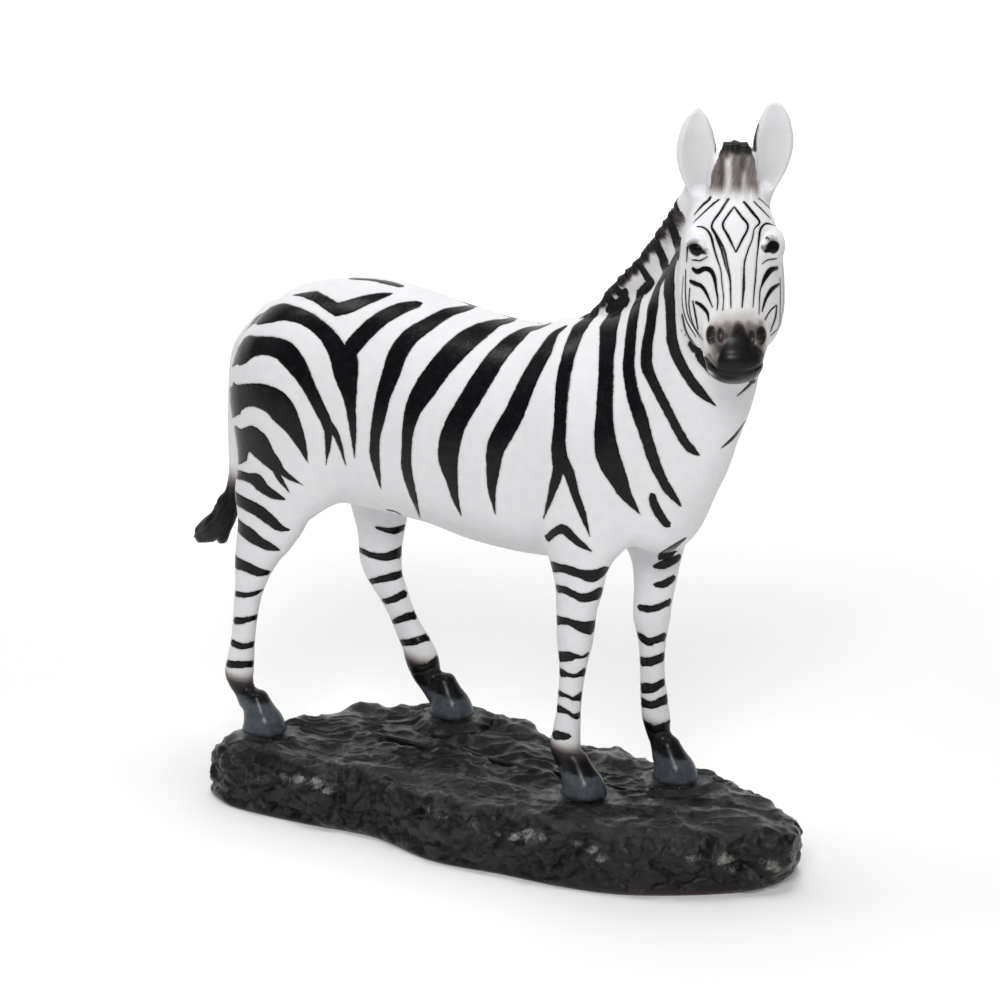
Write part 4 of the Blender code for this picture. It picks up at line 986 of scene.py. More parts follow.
def painted(P, E, faces, N):
    """The paint as numbers at each vertex, with painted shade in the ear hollows and nostrils and painted highlights
    down the tuft between the ears.
    """
    tree = tree_of(P, faces)
    u, v, _ = pixel(P)
    a, s, out = head_of(P)
    facing = (N * unit(EYE - P)).sum(1)
    on_head = (a > -6) & (np.abs(s) < 20) & (out > -13) & (P[:, 2] > 176)
    strokes = []
    for k, rows in enumerate(BODY):
        S = on_skin(tree, rows, 2.0, drop=rows[0][1] < 330)
        if len(S) < 3:
            continue
        if k in (6, 9, 10, 13, 15, 16):
            S = carried_on(tree, S, 26, droop=0.02)
        strokes.append((S, 2.1))
        for run in mirrored(tree, S):
            strokes.append((run, 2.1))
    for leg, bands in BANDS.items():
        for rows in bands:
            S = on_skin(tree, rows, 1.5)
            if len(S) < 3:
                continue
            strokes.append((S, 1.9))
            if S[:, 2].mean() < 100:
                for run in round_leg(tree, S, LEGS[leg]):
                    strokes.append((run, 1.9))
    for rows in CREST:
        S = on_skin(tree, rows, 1.5)
        if len(S) > 3:
            strokes.append((S, 1.0))
            for run in mirrored(tree, S):
                strokes.append((run, 1.0))
    for rows in FACE_LINES:
        S = on_skin(tree, rows, 1.0)
        if len(S) > 2:
            strokes.append((S, 0.85))
    made = channels(P, N, E, strokes, 9)
    print("strokes", len(strokes), "channels", len(made))

    airbrush_and_painted_light = np.zeros(len(P))

    def add(mask, amount=1.0):
        np.maximum(airbrush_and_painted_light, np.clip(mask, 0, 1) * amount, out=airbrush_and_painted_light)

    def through(sweep):
        t, e, up, side, r = sweep.locate(P)
        return t / (len(sweep.c) - 1), t * sweep.h, up, side, r, np.maximum(np.abs(up) / np.maximum(r[:, 0], r[:, 1]), np.abs(side) / r[:, 2])

    hair = np.zeros((len(P), 3))
    on_ear = np.zeros(len(P), bool)
    facing_ear = unit(EAR_FACING)
    ears = []
    for low, mid, tip in EARS:
        low, mid, tip = map(np.array, (low, mid, tip))
        rows = [(*(low * (1 - k) ** 2 + 2 * (2 * mid - (low + tip) / 2) * k * (1 - k) + tip * k * k), th, th, w) for k, w, th in EAR]
        near = np.nonzero(np.linalg.norm(P - mid, axis=1) < 26)[0]
        t, e, up, side, r = Sweep(rows, facing_ear).locate(P[near])
        share = t / (4 * len(EAR) - 1)
        inside_ = (np.abs(side) < r[:, 2] * 1.2 + 0.4) & (np.abs(up) < r[:, 0] * 1.5 + 0.5) & (share > 0.2)
        on_ear[near] |= inside_
        ears.append((near[inside_], share[inside_], (side / r[:, 2])[inside_], (up / r[:, 0])[inside_]))
    # the mane: black along its crest, fading down into white
    crest = Sweep([(x, y, z, h, h, w) for x, y, z, h, w in MANE], (-0.72, 0.06, 0.7), n=2.4)
    t, run, up, side, r, rho = through(crest)
    lift = up / r[:, 0]
    mane = ramp(rho, 1.5, 1.2) * ramp(lift, -0.6, -0.15) * (1 - ((a > -9) & (out > -7.5))) * (t > 0.005) * (1 - on_ear)
    add(mane * ramp(lift + 0.12 * np.sin(run * 1.3) * np.sin(run * 0.31 + 1), 0.10, 0.62))
    add(mane * ramp(P[:, 2], 208, 224) * ramp(lift, -0.75, 0.25), 0.8)
    add(mane * ramp(t, 0.07, 0.0) * ramp(lift, 0.0, 0.6))
    hair = np.where(mane[:, None] > 0.02, np.stack([run + 0.35 * up, up, mane], 1), hair)
    # the tuft between the ears
    tuft = Sweep(FORELOCK, EAR_FACING, n=2.4)
    t, run, up, side, r, rho = through(tuft)
    lock = ramp(rho, 1.35, 1.08) * (P[:, 2] > 228) * ramp(np.abs(side), r[:, 2] * 1.12, r[:, 2] * 0.92) * ramp(t, 0.0, 0.06) * (1 - on_ear)
    front = ramp(up, -2, 3)
    streak = 0.5 + 0.5 * np.sin(side * 1.5 + 0.9) * np.sin(side * 0.55 - 0.4)
    shade = ramp(v, 178, 158) * 0.25 + ramp(v, 163, 147) * 0.75
    shade = np.maximum(shade, (0.40 + 0.30 * streak) * ramp(v, 200, 182))
    # painted highlights: two pale vertical streaks down the front of the tuft lighten its dark paint
    white = np.exp(-(((u - 728.5) / 3.2) ** 2)) * ramp(v, 149, 158) + 0.75 * np.exp(-(((u - 743.5) / 2.6) ** 2)) * ramp(v, 166, 178)
    dark = np.exp(-(((u - 716.5) / 4.5) ** 2) - ((v - 173) / 15) ** 2)
    shade = np.clip(np.maximum(shade, 0.62 * dark) * (1 - 0.8 * np.clip(white, 0, 1)), 0, 1)
    back = ramp(v, 175, 150) * 0.5 + 0.5
    add(lock * (shade * front + back * (1 - front)))
    hair = np.where(lock[:, None] > 0.02, np.stack([side + 0.12 * run, run, 0.45 * lock], 1), hair)
    # the tail's tuft
    tail = Sweep(TAIL, (-1, 0, 0.3))
    t, run, up, side, r, rho = through(tail)
    on_tail = ramp(rho, 1.9, 1.4) * (P[:, 0] < -104)
    add(on_tail * ramp(P[:, 2], 114, 100))
    for s_, half in made:
        half[on_tail > 0.3] = -2.0
    hair = np.where((on_tail * (P[:, 2] < 120))[:, None] > 0.02, np.stack([np.arctan2(side, up) * 3.4, run, 0.5 * on_tail * ramp(P[:, 2], 118, 108)], 1), hair)
    # feet: black fading up the pastern, slate hooves
    hoof = np.zeros(len(P))
    for leg, (hx, hy, seat) in HOOVES.items():
        near = (np.hypot(P[:, 0] - hx, P[:, 1] - hy) < 17) & (P[:, 2] < seat + 26)
        h = P[:, 2] - seat + 0.18 * (P[:, 0] - hx)
        top, fade = {"fore_right": (9.0, 15.8), "fore_left": (9.4, 18.0), "hind_right": (12.0, 17.5), "hind_left": (8.6, 17.5)}[leg]
        add(near * ramp(h, fade + 4.2, fade - 3.8))
        hoof = np.maximum(hoof, near * ramp(h, top + 0.35, top - 0.35))
    # muzzle
    face = on_head & (out > 0) | (on_head & (facing > -0.1))
    w = np.where(face, 1.0, 0.0)

    def blur(d, soft):
        return ramp(d, soft, -soft)

    f = np.nonzero(on_head & (a > 28) & (out > -5) & (v > 285) & (v < 392) & (u > 680) & (u < 800))[0]
    uu, vv = u[f], v[f]
    left = np.interp(vv, (314, 322, 330, 338, 345, 351, 360, 368), (735, 732, 731, 728, 723, 719.5, 717, 716))
    right = np.interp(vv, (314, 322, 330, 338, 345, 351, 360, 368), (740, 744, 747, 750, 757, 763, 766, 766))
    soft = np.interp(vv, (316, 335, 350), (8.0, 5.0, 2.6))
    m = 0.99 * ramp(uu, left - soft, left + soft) * ramp(uu, right + soft, right - soft) * ramp(vv, 312, 330)
    haze = ramp(uu, 703, 717) * ramp(uu, 771, 758) * ramp(vv, 309, 325)
    m = np.maximum(m, (np.interp(vv, (316, 328, 345), (0.40, 0.56, 0.66)) + 0.16 * noise(np.stack([uu, vv, 0 * uu], 1), 7.0, 91)) * haze)
    m = np.maximum(m, 0.30 * ramp(uu, 706, 724) * ramp(uu, 768, 750) * ramp(vv, 303, 321))
    # the outer ovals are the black-painted nostrils; the two inner blobs are painted shade inside the nostril hollows
    for at, size, deep in (((711.2, 335), (5.0, 9.6), 1.0), ((761.0, 335.5), (5.2, 9.8), 1.0), ((720.4, 335.5), (4.0, 8.5), 0.85), ((751.6, 338), (4.0, 9.0), 0.9)):
        m = np.maximum(m, deep * ramp(np.hypot((uu - at[0]) / size[0], (vv - at[1]) / size[1]), 1.35, 0.7))
    m = np.maximum(m, 0.97 * blur(near_line(uu, vv, [(707, 361.5, 3), (714, 369, 7), (724, 374.5, 12), (737, 377, 14), (750, 375, 12), (760, 367, 7), (765, 360, 3)]), 2.5))
    m = np.maximum(m, 0.62 * blur(near_line(uu, vv, [(709, 355, 5), (714, 362, 6), (722, 367, 6)]), 3.5))
    airbrush_and_painted_light[f] = np.maximum(airbrush_and_painted_light[f], m)
    under = on_head & (out < 3) & (a > 40)
    add(under * ramp(a + 0.4 * np.minimum(out, 4), 47.5, 53) * ramp(facing, 0.3, 0.0))
    # eyes: the ball, inside the painted outline
    eye = np.zeros(len(P))
    for outline, at in zip(ALMONDS, ((697.4, 249.4), (771.6, 247.2))):
        f = np.nonzero(on_head & (out > -3) & (facing > -0.85) & (np.abs(u - at[0]) < 16) & (np.abs(v - at[1]) < 14))[0]
        eye[f] = np.maximum(eye[f], ramp(inside(u[f], v[f], outline), -1.0, 1.0) * (1 - ramp(u[f], 765.0, 763.0) * ramp(u[f], 755.0, 757.0)))
    # ears: painted shade, soft grey deepening into the hollow of the cup in front with a darker line along its rim;
    # smudged dark paint behind
    ear_cup_shade = np.zeros(len(P))
    for at, share, across, up in ears:
        front = (N[at] @ facing_ear) > 0.15
        deep = ramp(np.abs(across), 0.98, 0.2) * (0.35 + 0.65 * ramp(share, 0.8, 0.2))
        rim = np.exp(-(((np.abs(across) - 0.88) / 0.06) ** 2)) * 0.5
        ear_cup_shade[at] = np.where(front, np.maximum(deep, rim), 0)
        behind = (N[at] @ facing_ear) < -0.2
        airbrush_and_painted_light[at] = np.where(behind, 0.8 * ramp(share, 0.84, 0.93) + 0.6 * np.exp(-(((share - 0.5) / 0.11) ** 2)), 0)
    for rows in ([(715.5, 128, 3), (718.5, 139, 4), (718, 150, 3.5)], [(757.5, 125, 2), (755, 137, 3), (754.5, 150, 3)]):
        f = np.nonzero((P[:, 2] > 229) & (np.abs(u - rows[1][0]) < 14) & (v > 110) & (v < 165))[0]
        airbrush_and_painted_light[f] = np.maximum(airbrush_and_painted_light[f], 0.85 * ramp(near_line(u[f], v[f], rows), 1.6, -0.8))
    fine = np.where((P[:, 2] > 176) & (a > -10) & (out > -14) & (np.abs(s) < 20), 0.35, 1.0)
    return made, airbrush_and_painted_light, np.stack([hoof, eye, ear_cup_shade], 1), hair, fine


def give(mesh, name, values, kind="FLOAT_VECTOR"):
    """Writes a number, or three, for each vertex."""
    layer = mesh.attributes.new(name, kind, "POINT")
    layer.data.foreach_set("vector" if kind == "FLOAT_VECTOR" else "value", np.ascontiguousarray(values, np.float32).ravel())


def mesh_from(name, P, faces):
    mesh = bpy.data.meshes.new(name)
    mesh.from_pydata((P * MM).tolist(), [], faces)
    mesh.update()
    mesh.polygons.foreach_set("use_smooth", np.ones(len(mesh.polygons), bool))
    obj = bpy.data.objects.new(name, mesh)
    bpy.context.scene.collection.objects.link(obj)
    return obj


def crest_clumps(P, N):
    """Steps along the mane's crest, where the hair is carved in clumps, and fine carved strands."""
    crest = Sweep([(x, y, z, h, h, w) for x, y, z, h, w in MANE], (-0.72, 0.06, 0.7), n=2.4)
    near = np.nonzero((P[:, 2] > 172) & (P[:, 0] < 92) & (P[:, 0] > 18))[0]
    t, e, up, side, r = crest.locate(P[near])
    run = t * crest.h
    rho = np.maximum(np.abs(up) / r[:, 0], np.abs(side) / r[:, 2])
    w = ramp(rho, 1.5, 1.15) * ramp(up / r[:, 0], -0.35, 0.15) * (t > 0.01) * (t < (len(crest.c) - 1) * 0.97)
    slant = run - 0.25 * up
    saw = (slant / 6.3 + 0.35 * np.sin(slant * 0.23)) % 1.0
    step = 0.75 * (ramp(saw, 0.0, 0.2) * (1 - saw)) - 0.25
    strands = 0.13 * np.sin(slant * 5.2 + 1.4 * np.sin(slant * 0.9) + 0.5 * up) + 0.10 * np.sin(slant * 3.1 + 2 - 0.3 * up)
    crown = ramp(up / r[:, 0], 0.25, 0.9)
    P[near] += N[near] * (w * (strands + step * crown))[:, None]
    tuft = Sweep(FORELOCK, EAR_FACING, n=2.4)
    near = np.nonzero((P[:, 2] > 228) & (np.linalg.norm(P - np.array(FORELOCK[1][:3]), axis=1) < 22))[0]
    t, e, up, side, r = tuft.locate(P[near])
    rho = np.maximum(np.abs(up) / r[:, 0], np.abs(side) / r[:, 2])
    w = ramp(rho, 1.4, 1.1) * ramp(t / (len(tuft.c) - 1), 0.0, 0.12)
    wave = 0.32 * np.sin(side * 1.9 + 0.6 * np.sin(t * 0.8)) + 0.14 * np.sin(side * 4.6 + 1)
    P[near] += N[near] * (w * wave)[:, None]
    tail = Sweep(TAIL, (-1, 0, 0.3))
    near = np.nonzero((P[:, 0] < -106) & (P[:, 2] < 112))[0]
    t, e, up, side, r = tail.locate(P[near])
    angle = np.arctan2(side, up)
    w = ramp(P[near, 2], 110, 98)
    P[near] += N[near] * (w * (0.42 * np.sin(angle * 5 + 0.35 * t) + 0.2 * np.sin(angle * 9 - 0.5 * t)))[:, None]
    return P


class Nodes:
    """A short way to write a material's nodes."""

    def __init__(self, name):
        self.mat = bpy.data.materials.new(name)
        self.mat.use_nodes = True
        self.tree = self.mat.node_tree
        self.shader = self.tree.nodes["Principled BSDF"]
        self.count = 0

    def new(self, kind, **settings):
        node = self.tree.nodes.new(kind)
        node.location = (-240 * (self.count // 8 + 2), -180 * (self.count % 8))
        self.count += 1
        for key, value in settings.items():
            setattr(node, key, value)
        return node

    def put(self, socket, value):
        if isinstance(value, bpy.types.NodeSocket):
            self.tree.links.new(value, socket)
        elif isinstance(value, (tuple, list)) and len(value) == 3 and socket.type == "RGBA":
            socket.default_value = (*value, 1)
        else:
            socket.default_value = value

    def math(self, kind, a, b=0.0, c=0.0, clamp=False):
        node = self.new("ShaderNodeMath", operation=kind, use_clamp=clamp)
        for socket, value in zip(node.inputs, (a, b, c)):
            self.put(socket, value)
        return node.outputs[0]

    def read(self, name):
        return self.new("ShaderNodeAttribute", attribute_name=name)

    def parts(self, vector):
        node = self.new("ShaderNodeSeparateXYZ")
        self.put(node.inputs[0], vector)
        return node.outputs

    def join(self, x, y, z):
        node = self.new("ShaderNodeCombineXYZ")
        for socket, value in zip(node.inputs, (x, y, z)):
            self.put(socket, value)
        return node.outputs[0]

    def place(self):
        return self.new("ShaderNodeTexCoord").outputs["Object"]

    def noise(self, vector, scale, detail=3.0, rough=0.55, warp=0.0):
        node = self.new("ShaderNodeTexNoise")
        self.put(node.inputs["Vector"], vector)
        for key, value in (("Scale", scale), ("Detail", detail), ("Roughness", rough), ("Distortion", warp)):
            self.put(node.inputs[key], value)
        return node.outputs["Fac"]

    def spread(self, value, a, b, low=0.0, high=1.0, smooth=True):
        node = self.new("ShaderNodeMapRange", interpolation_type="SMOOTHSTEP" if smooth else "LINEAR")
        for key, v in (("Value", value), ("From Min", a), ("From Max", b), ("To Min", low), ("To Max", high)):
            self.put(node.inputs[key], v)
        return node.outputs["Result"]

    def blend(self, share, a, b, kind="MIX"):
        node = self.new("ShaderNodeMix", data_type="RGBA", blend_type=kind)
        self.put(node.inputs[0], share)
        self.put(node.inputs[6], a)
        self.put(node.inputs[7], b)
        return node.outputs[2]

    def steps(self, value, stops):
        node = self.new("ShaderNodeValToRGB")
        self.put(node.inputs[0], value)
        ramp_ = node.color_ramp
        while len(ramp_.elements) < len(stops):
            ramp_.elements.new(0.5)
        for element, (at, colour) in zip(ramp_.elements, stops):
            element.position = at
            element.color = (*colour, 1)
        return node.outputs["Color"]

    def bump(self, height, distance, strength=1.0, normal=None):
        node = self.new("ShaderNodeBump")
        self.put(node.inputs["Height"], height)
        self.put(node.inputs["Distance"], distance)
        self.put(node.inputs["Strength"], strength)
        if normal is not None:
            self.put(node.inputs["Normal"], normal)
        return node.outputs["Normal"]


WHITE = (0.80, 0.80, 0.815)
BLACK = (0.0036, 0.0034, 0.0046)
SLATE = (0.062, 0.072, 0.084)


def zebra_paint(count):
    n = Nodes("zebra_paint")
    at = n.place()
    best = None
    for c in range(count):
        s, half, _ = n.parts(n.read(f"band{c}").outputs["Vector"])
        f = n.math("SUBTRACT", half, n.math("ABSOLUTE", s))
        best = f if best is None else n.math("MAXIMUM", best, f)
    fine = n.read("fine").outputs["Fac"]
    wobble = n.math("SUBTRACT", n.noise(at, 420, 3, 0.6), 0.5)
    nibble = n.math("SUBTRACT", n.noise(at, 1500, 2, 0.5), 0.5)
    edge = n.math("ADD", n.math("MULTIPLY", wobble, 0.75), n.math("MULTIPLY", nibble, 0.35))
    depth = n.math("ADD", best, n.math("MULTIPLY", edge, fine))
    black = n.spread(depth, -0.11, 0.11)
    hx, hy, hair = n.parts(n.read("hair").outputs["Vector"])
    strand = n.noise(n.join(n.math("MULTIPLY", hx, 2.6), n.math("MULTIPLY", hy, 0.16), 0.0), 1.0, 3, 0.6)
    strand = n.math("MULTIPLY", n.math("SUBTRACT", strand, 0.5), hair)
    airbrush_and_painted_light = n.math("ADD", n.read("airbrush_and_painted_light").outputs["Fac"], n.math("MULTIPLY", n.math("SUBTRACT", n.noise(at, 900, 3, 0.6), 0.5), 0.10))
    airbrush_and_painted_light = n.math("SUBTRACT", airbrush_and_painted_light, 0.03)
    airbrush_and_painted_light = n.math("ADD", airbrush_and_painted_light, n.math("MULTIPLY", strand, 1.1), clamp=True)
    hoof, gloss, ear_cup_shade = n.parts(n.read("tone").outputs["Vector"])
    speck = n.noise(at, 260, 4, 0.6)
    white = n.blend(n.spread(speck, 0.35, 0.7), WHITE, (0.765, 0.765, 0.785))
    # painted shade: a grey line just outside each stripe's edge, for the shade in the engraved outline beside the
    # stripes
    edge_line_shade = n.math("POWER", 2.718, n.math("MULTIPLY", n.math("POWER", n.math("DIVIDE", n.math("ADD", depth, 0.22), 0.22), 2.0), -1.0))
    white = n.blend(n.math("MULTIPLY", edge_line_shade, 0.35), white, (0.36, 0.35, 0.36))
    # painted shade: grey in the hollows of the ears and along their rims
    white = n.blend(n.math("MULTIPLY", ear_cup_shade, 0.42), white, (0.47, 0.46, 0.46))
    airbrush = n.steps(airbrush_and_painted_light, [(0.0, (1, 1, 1)), (0.22, (0.70, 0.66, 0.63)), (0.45, (0.30, 0.265, 0.25)), (0.7, (0.055, 0.046, 0.043)), (1.0, (0.0070, 0.0062, 0.0070))])
    colour = n.blend(1.0, white, airbrush, "MULTIPLY")
    brush = n.noise(at, 330, 4, 0.65, 0.6)
    ink = n.blend(n.spread(brush, 0.4, 0.75), BLACK, (0.0085, 0.0080, 0.0100))
    colour = n.blend(black, colour, ink)
    slate = n.blend(n.spread(n.noise(at, 350, 4, 0.65), 0.35, 0.75), SLATE, (0.100, 0.112, 0.126))
    colour = n.blend(hoof, colour, slate)
    colour = n.blend(gloss, colour, (0.006, 0.005, 0.005))
    n.put(n.shader.inputs["Base Color"], colour)
    rough = n.spread(n.noise(at, 520, 3, 0.6), 0.3, 0.7, 0.40, 0.52)
    dark = n.math("MAXIMUM", black, n.math("MULTIPLY", airbrush_and_painted_light, 0.8))
    rough = n.math("MULTIPLY", rough, n.spread(dark, 0.0, 1.0, 1.0, 0.55, False))
    rough = n.math("MULTIPLY", rough, n.spread(hoof, 0.0, 1.0, 1.0, 0.75, False))
    rough = n.math("MULTIPLY", rough, n.spread(gloss, 0.0, 1.0, 1.0, 0.16, False))
    n.put(n.shader.inputs["Roughness"], rough)
    groove = n.math("POWER", 2.718, n.math("MULTIPLY", n.math("POWER", n.math("DIVIDE", depth, 0.34), 2.0), -1.0))
    relief = n.math("MULTIPLY", groove, n.math("MULTIPLY", fine, -0.16))
    relief = n.math("ADD", relief, n.math("MULTIPLY", brush, n.math("MULTIPLY", black, 0.11)))
    relief = n.math("ADD", relief, n.math("MULTIPLY", strand, 0.55))
    relief = n.math("ADD", relief, n.math("MULTIPLY", speck, 0.035))
    n.put(n.shader.inputs["Normal"], n.bump(relief, 0.001))
    n.shader.inputs["Specular IOR Level"].default_value = 0.18
    return n.mat


# Rubbed patches on the rock in pixels: where, reach in px, strength, and 1 where the tint is greenish stone
RUBS = [
    (262, 778, 9, 0.5, 0), (282, 776, 8, 0.8, 0), (300, 779, 9, 0.9, 0), (318, 783, 9, 1.0, 0), (330, 790, 7, 0.7, 0),
    (345, 792, 7, 0.3, 0), (396, 790, 10, 0.35, 0), (428, 812, 9, 0.55, 0), (447, 817, 10, 0.45, 0), (476, 826, 8, 0.6, 0), (498, 834, 7, 0.6, 0),
    (517, 836, 8, 0.9, 0), (529, 834, 9, 1.0, 0), (541, 838, 8, 0.75, 0), (575, 844, 8, 0.8, 0), (592, 849, 8, 0.9, 0), (602, 858, 7, 0.8, 0),
    (560, 861, 8, 0.35, 0), (692, 857, 10, 0.6, 1), (676, 872, 8, 0.4, 1), (724, 858, 11, 0.95, 1), (732, 868, 9, 0.6, 1), (772, 862, 10, 0.8, 1), (790, 850, 6, 0.4, 1),
    (668, 884, 7, 0.35, 1),
]
# Lumps and hollows at pixels: where, reach in mm, height in mm
LUMPS = [
    (417, 815, 2.6, -4.2), (405, 806, 5.0, 1.6), (432, 812, 5.5, 1.5), (305, 747, 1.5, -0.8), (301, 745, 3.0, 0.35), (392, 790, 7.5, 2.0), (365, 785, 5.0, 1.6),
    (318, 786, 7.0, 1.8), (286, 778, 6.0, 1.3), (340, 796, 2.4, -2.0), (355, 780, 2.0, -1.6), (470, 826, 6.0, 1.4), (525, 838, 6.0, 2.2), (548, 846, 4.0, 1.5), (556, 858, 3.2, -1.8),
    (592, 852, 5.5, 2.0), (615, 868, 4.0, -1.5), (640, 870, 6.0, 1.0), (692, 858, 5.5, 2.4), (708, 872, 2.6, -1.8), (726, 860, 6.0, 2.6), (748, 868, 2.6, -2.0), (774, 862, 6.0, 2.2),
    (745, 885, 5.0, 1.0), (250, 790, 5.0, 1.0), (225, 765, 5.0, 0.9), (240, 775, 2.4, -1.2), (500, 850, 5.0, 1.0), (655, 838, 4.5, -0.8), (706, 840, 4.0, 0.9),
]


def rock_skin():
    """The plinth's rough skin: points, faces, and the numbers that its paint follows."""
    around, low, high = ((800, 34, 78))
    foot, brim = even_loop(FOOT, around), even_loop(BRIM, around)
    spine = np.stack([np.clip(brim[:, 0] * 0.8, -62, 62), np.full(around, -3.0)], 1)
    out = unit(brim - spine)
    profile = spline([(0, -1.0, 0.02), (0, 0.3, 1.4), (0.2, 0.9, 4), (0.4, 1.2, 7.5), (0.65, 1.3, 11.5), (0.85, 1.1, 15), (1, 0.4, 17.8), (1, -1.6, 19.9)], 12)
    arc = np.concatenate([[0], np.cumsum(np.linalg.norm(np.diff(profile * (12, 1, 1), axis=0), axis=1))])
    at = np.linspace(0, arc[-1], low)
    profile = np.stack([np.interp(at, arc, profile[:, k]) for k in range(3)], 1)
    rings = [np.hstack([foot * (1 - s) + brim * s + out * b, np.full((around, 1), z)]) for s, b, z in profile]
    for i in range(1, high + 1):
        s = 1 - (i / (high + 1.5))
        xy = spine + (brim - out * 2.6 - spine) * s
        z = ground(xy[:, 0], xy[:, 1])
        z = z - 0.9 * np.exp(-i / (high * 0.03))
        rings.append(np.hstack([xy, z[:, None]]))
    P = np.vstack(rings)
    count = len(rings)
    k = np.arange(around)
    faces = []
    for r in range(count - 1):
        a, b = r * around + k, r * around + (k + 1) % around
        faces += np.stack([a, b, b + around, a + around], 1).tolist()
    faces.append(list(range(around))[::-1])
    last = (count - 1) * around
    half = around // 2
    # the innermost ring is a thin slot along the spine: close it across
    for j in range(half):
        a, b = last + j, last + j + 1
        c, d = last + (around - 1 - j), last + (around - j) % around
        if len({a, b, c, d}) == 4:
            faces.append([d, a, b, c])
        elif len({a, b, c, d}) == 3:
            faces.append([x for i, x in enumerate((d, a, b, c)) if x not in (d, a, b, c)[:i]])
    N = normals_of(P, faces)
    side = ramp(P[:, 2], 21.5, 17.5)
    skirt = ramp(P[:, 2], 0.6, 3.5)
    free = np.ones(len(P))
    lip = np.zeros(len(P))
    for hx, hy, seat in HOOVES.values():
        d = np.hypot((P[:, 0] - hx - 1.2) / 1.05, P[:, 1] - hy)
        free = np.minimum(free, ramp(d, 8.2, 13.5))
        lip = np.maximum(lip, np.exp(-(((d - 10.4) / 1.5) ** 2)))
    top = (1 - side) * free
    # broad lumps and broken facets round the side
    big = layers(P, 17, 3, 3)
    first, second, mark = cells(P * (1, 1, 1.5) + 2.5 * np.stack([noise(P, 7, s) for s in (11, 12, 13)], 1), 9.5, 5)
    crack = np.exp(-(((second - first) / 0.13) ** 2))
    facet = (mark - 0.5) * 1.6 - first * 1.3 + 0.6
    small1, small2, smark = cells(P + 1.2 * np.stack([noise(P, 3.5, s) for s in (21, 22, 23)], 1), 3.6, 6)
    rough = side * skirt * (1.15 * big + 1.0 * facet - 0.8 * crack + 0.30 * (smark - 0.5) - 0.32 * np.exp(-(((small2 - small1) / 0.16) ** 2)) + 0.42 * layers(P, 3.0, 3, 8))
    # hammered ripples that flow over the top
    warp = np.stack([noise(P, 16, 31), noise(P, 16, 32), 0 * side], 1) * 6
    q = P + warp
    turn = np.array([[0.93, 0.37, 0], [-0.37, 0.93, 0], [0, 0, 1]])
    q = (q @ turn.T) * (0.55, 1.25, 1)
    r1 = 1 - np.abs(noise(q, 6.5, 41)) * 1.9
    r2 = 1 - np.abs(noise(q + 9.7, 3.4, 42)) * 1.9
    dents1, dents2, _ = cells(P * (1, 1, 0.4) + warp * 0.4, 7.5, 44)
    scoop = np.minimum(dents1, 0.62)
    ripple = top * (0.95 * r1 + 0.50 * r2 + 2.6 * (scoop - 0.4) + 0.6 * layers(P, 26, 2, 45) + 0.10 * layers(P, 1.8, 2, 46))
    spots = np.zeros(len(P))
    tree = tree_of(P, faces)
    for u, v, reach, height in LUMPS:
        p, n = hit(tree, u, v)
        if p is None:
            continue
        near = np.nonzero(np.abs(P - p).max(1) < 3 * reach)[0]
        d = np.linalg.norm(P[near] - p, axis=1) * (1 + 0.25 * noise(P[near], 3.0, 51))
        spots[near] += height * np.exp(-((d / reach) ** 2)) * free[near] * skirt[near]
    p, n = hit(tree, 656, 820)
    d = np.linalg.norm((P - p) * (1, 1, 0), axis=1)
    ring = np.exp(-(((d - 5.6) / 0.55) ** 2))
    spots += (0.35 * np.exp(-(((d - 6.4) / 0.6) ** 2)) - 0.5 * ring) * (P[:, 2] > 17) - 0.25 * ramp(d, 6.0, 4.8) * (P[:, 2] > 17)
    relief = rough + ripple + spots
    Q = P + N * relief[:, None]
    Q[:, 2] += 0.35 * lip * (1 - side) * (0.6 + 0.4 * noise(P, 2.5, 61))
    Q[:, 2] = np.where(P[:, 2] < 0.6, P[:, 2], np.maximum(Q[:, 2], 0.05))
    u, v, _ = pixel(P)
    M = normals_of(Q, faces)
    facing = (M * unit(EYE - Q)).sum(1)
    rub, tint = np.zeros(len(P)), np.zeros(len(P))
    for pu, pv, reach, strength, green in RUBS:
        w = strength * np.exp(-(((u - pu) / reach) ** 2) - (((v - pv) / (reach * 0.62)) ** 2)) * (facing > 0)
        rub = np.maximum(rub, w)
        if green:
            tint = np.maximum(tint, w)
    hidden = ramp(facing, 0.15, -0.15) * side * skirt
    rub = np.maximum(rub, hidden * 0.75 * ramp(layers(P, 15, 2, 71), 0.25, 0.75))
    edge = Q[:, 2] < 2.2
    return Q, faces, relief, np.stack([rub, tint, side], 1), edge


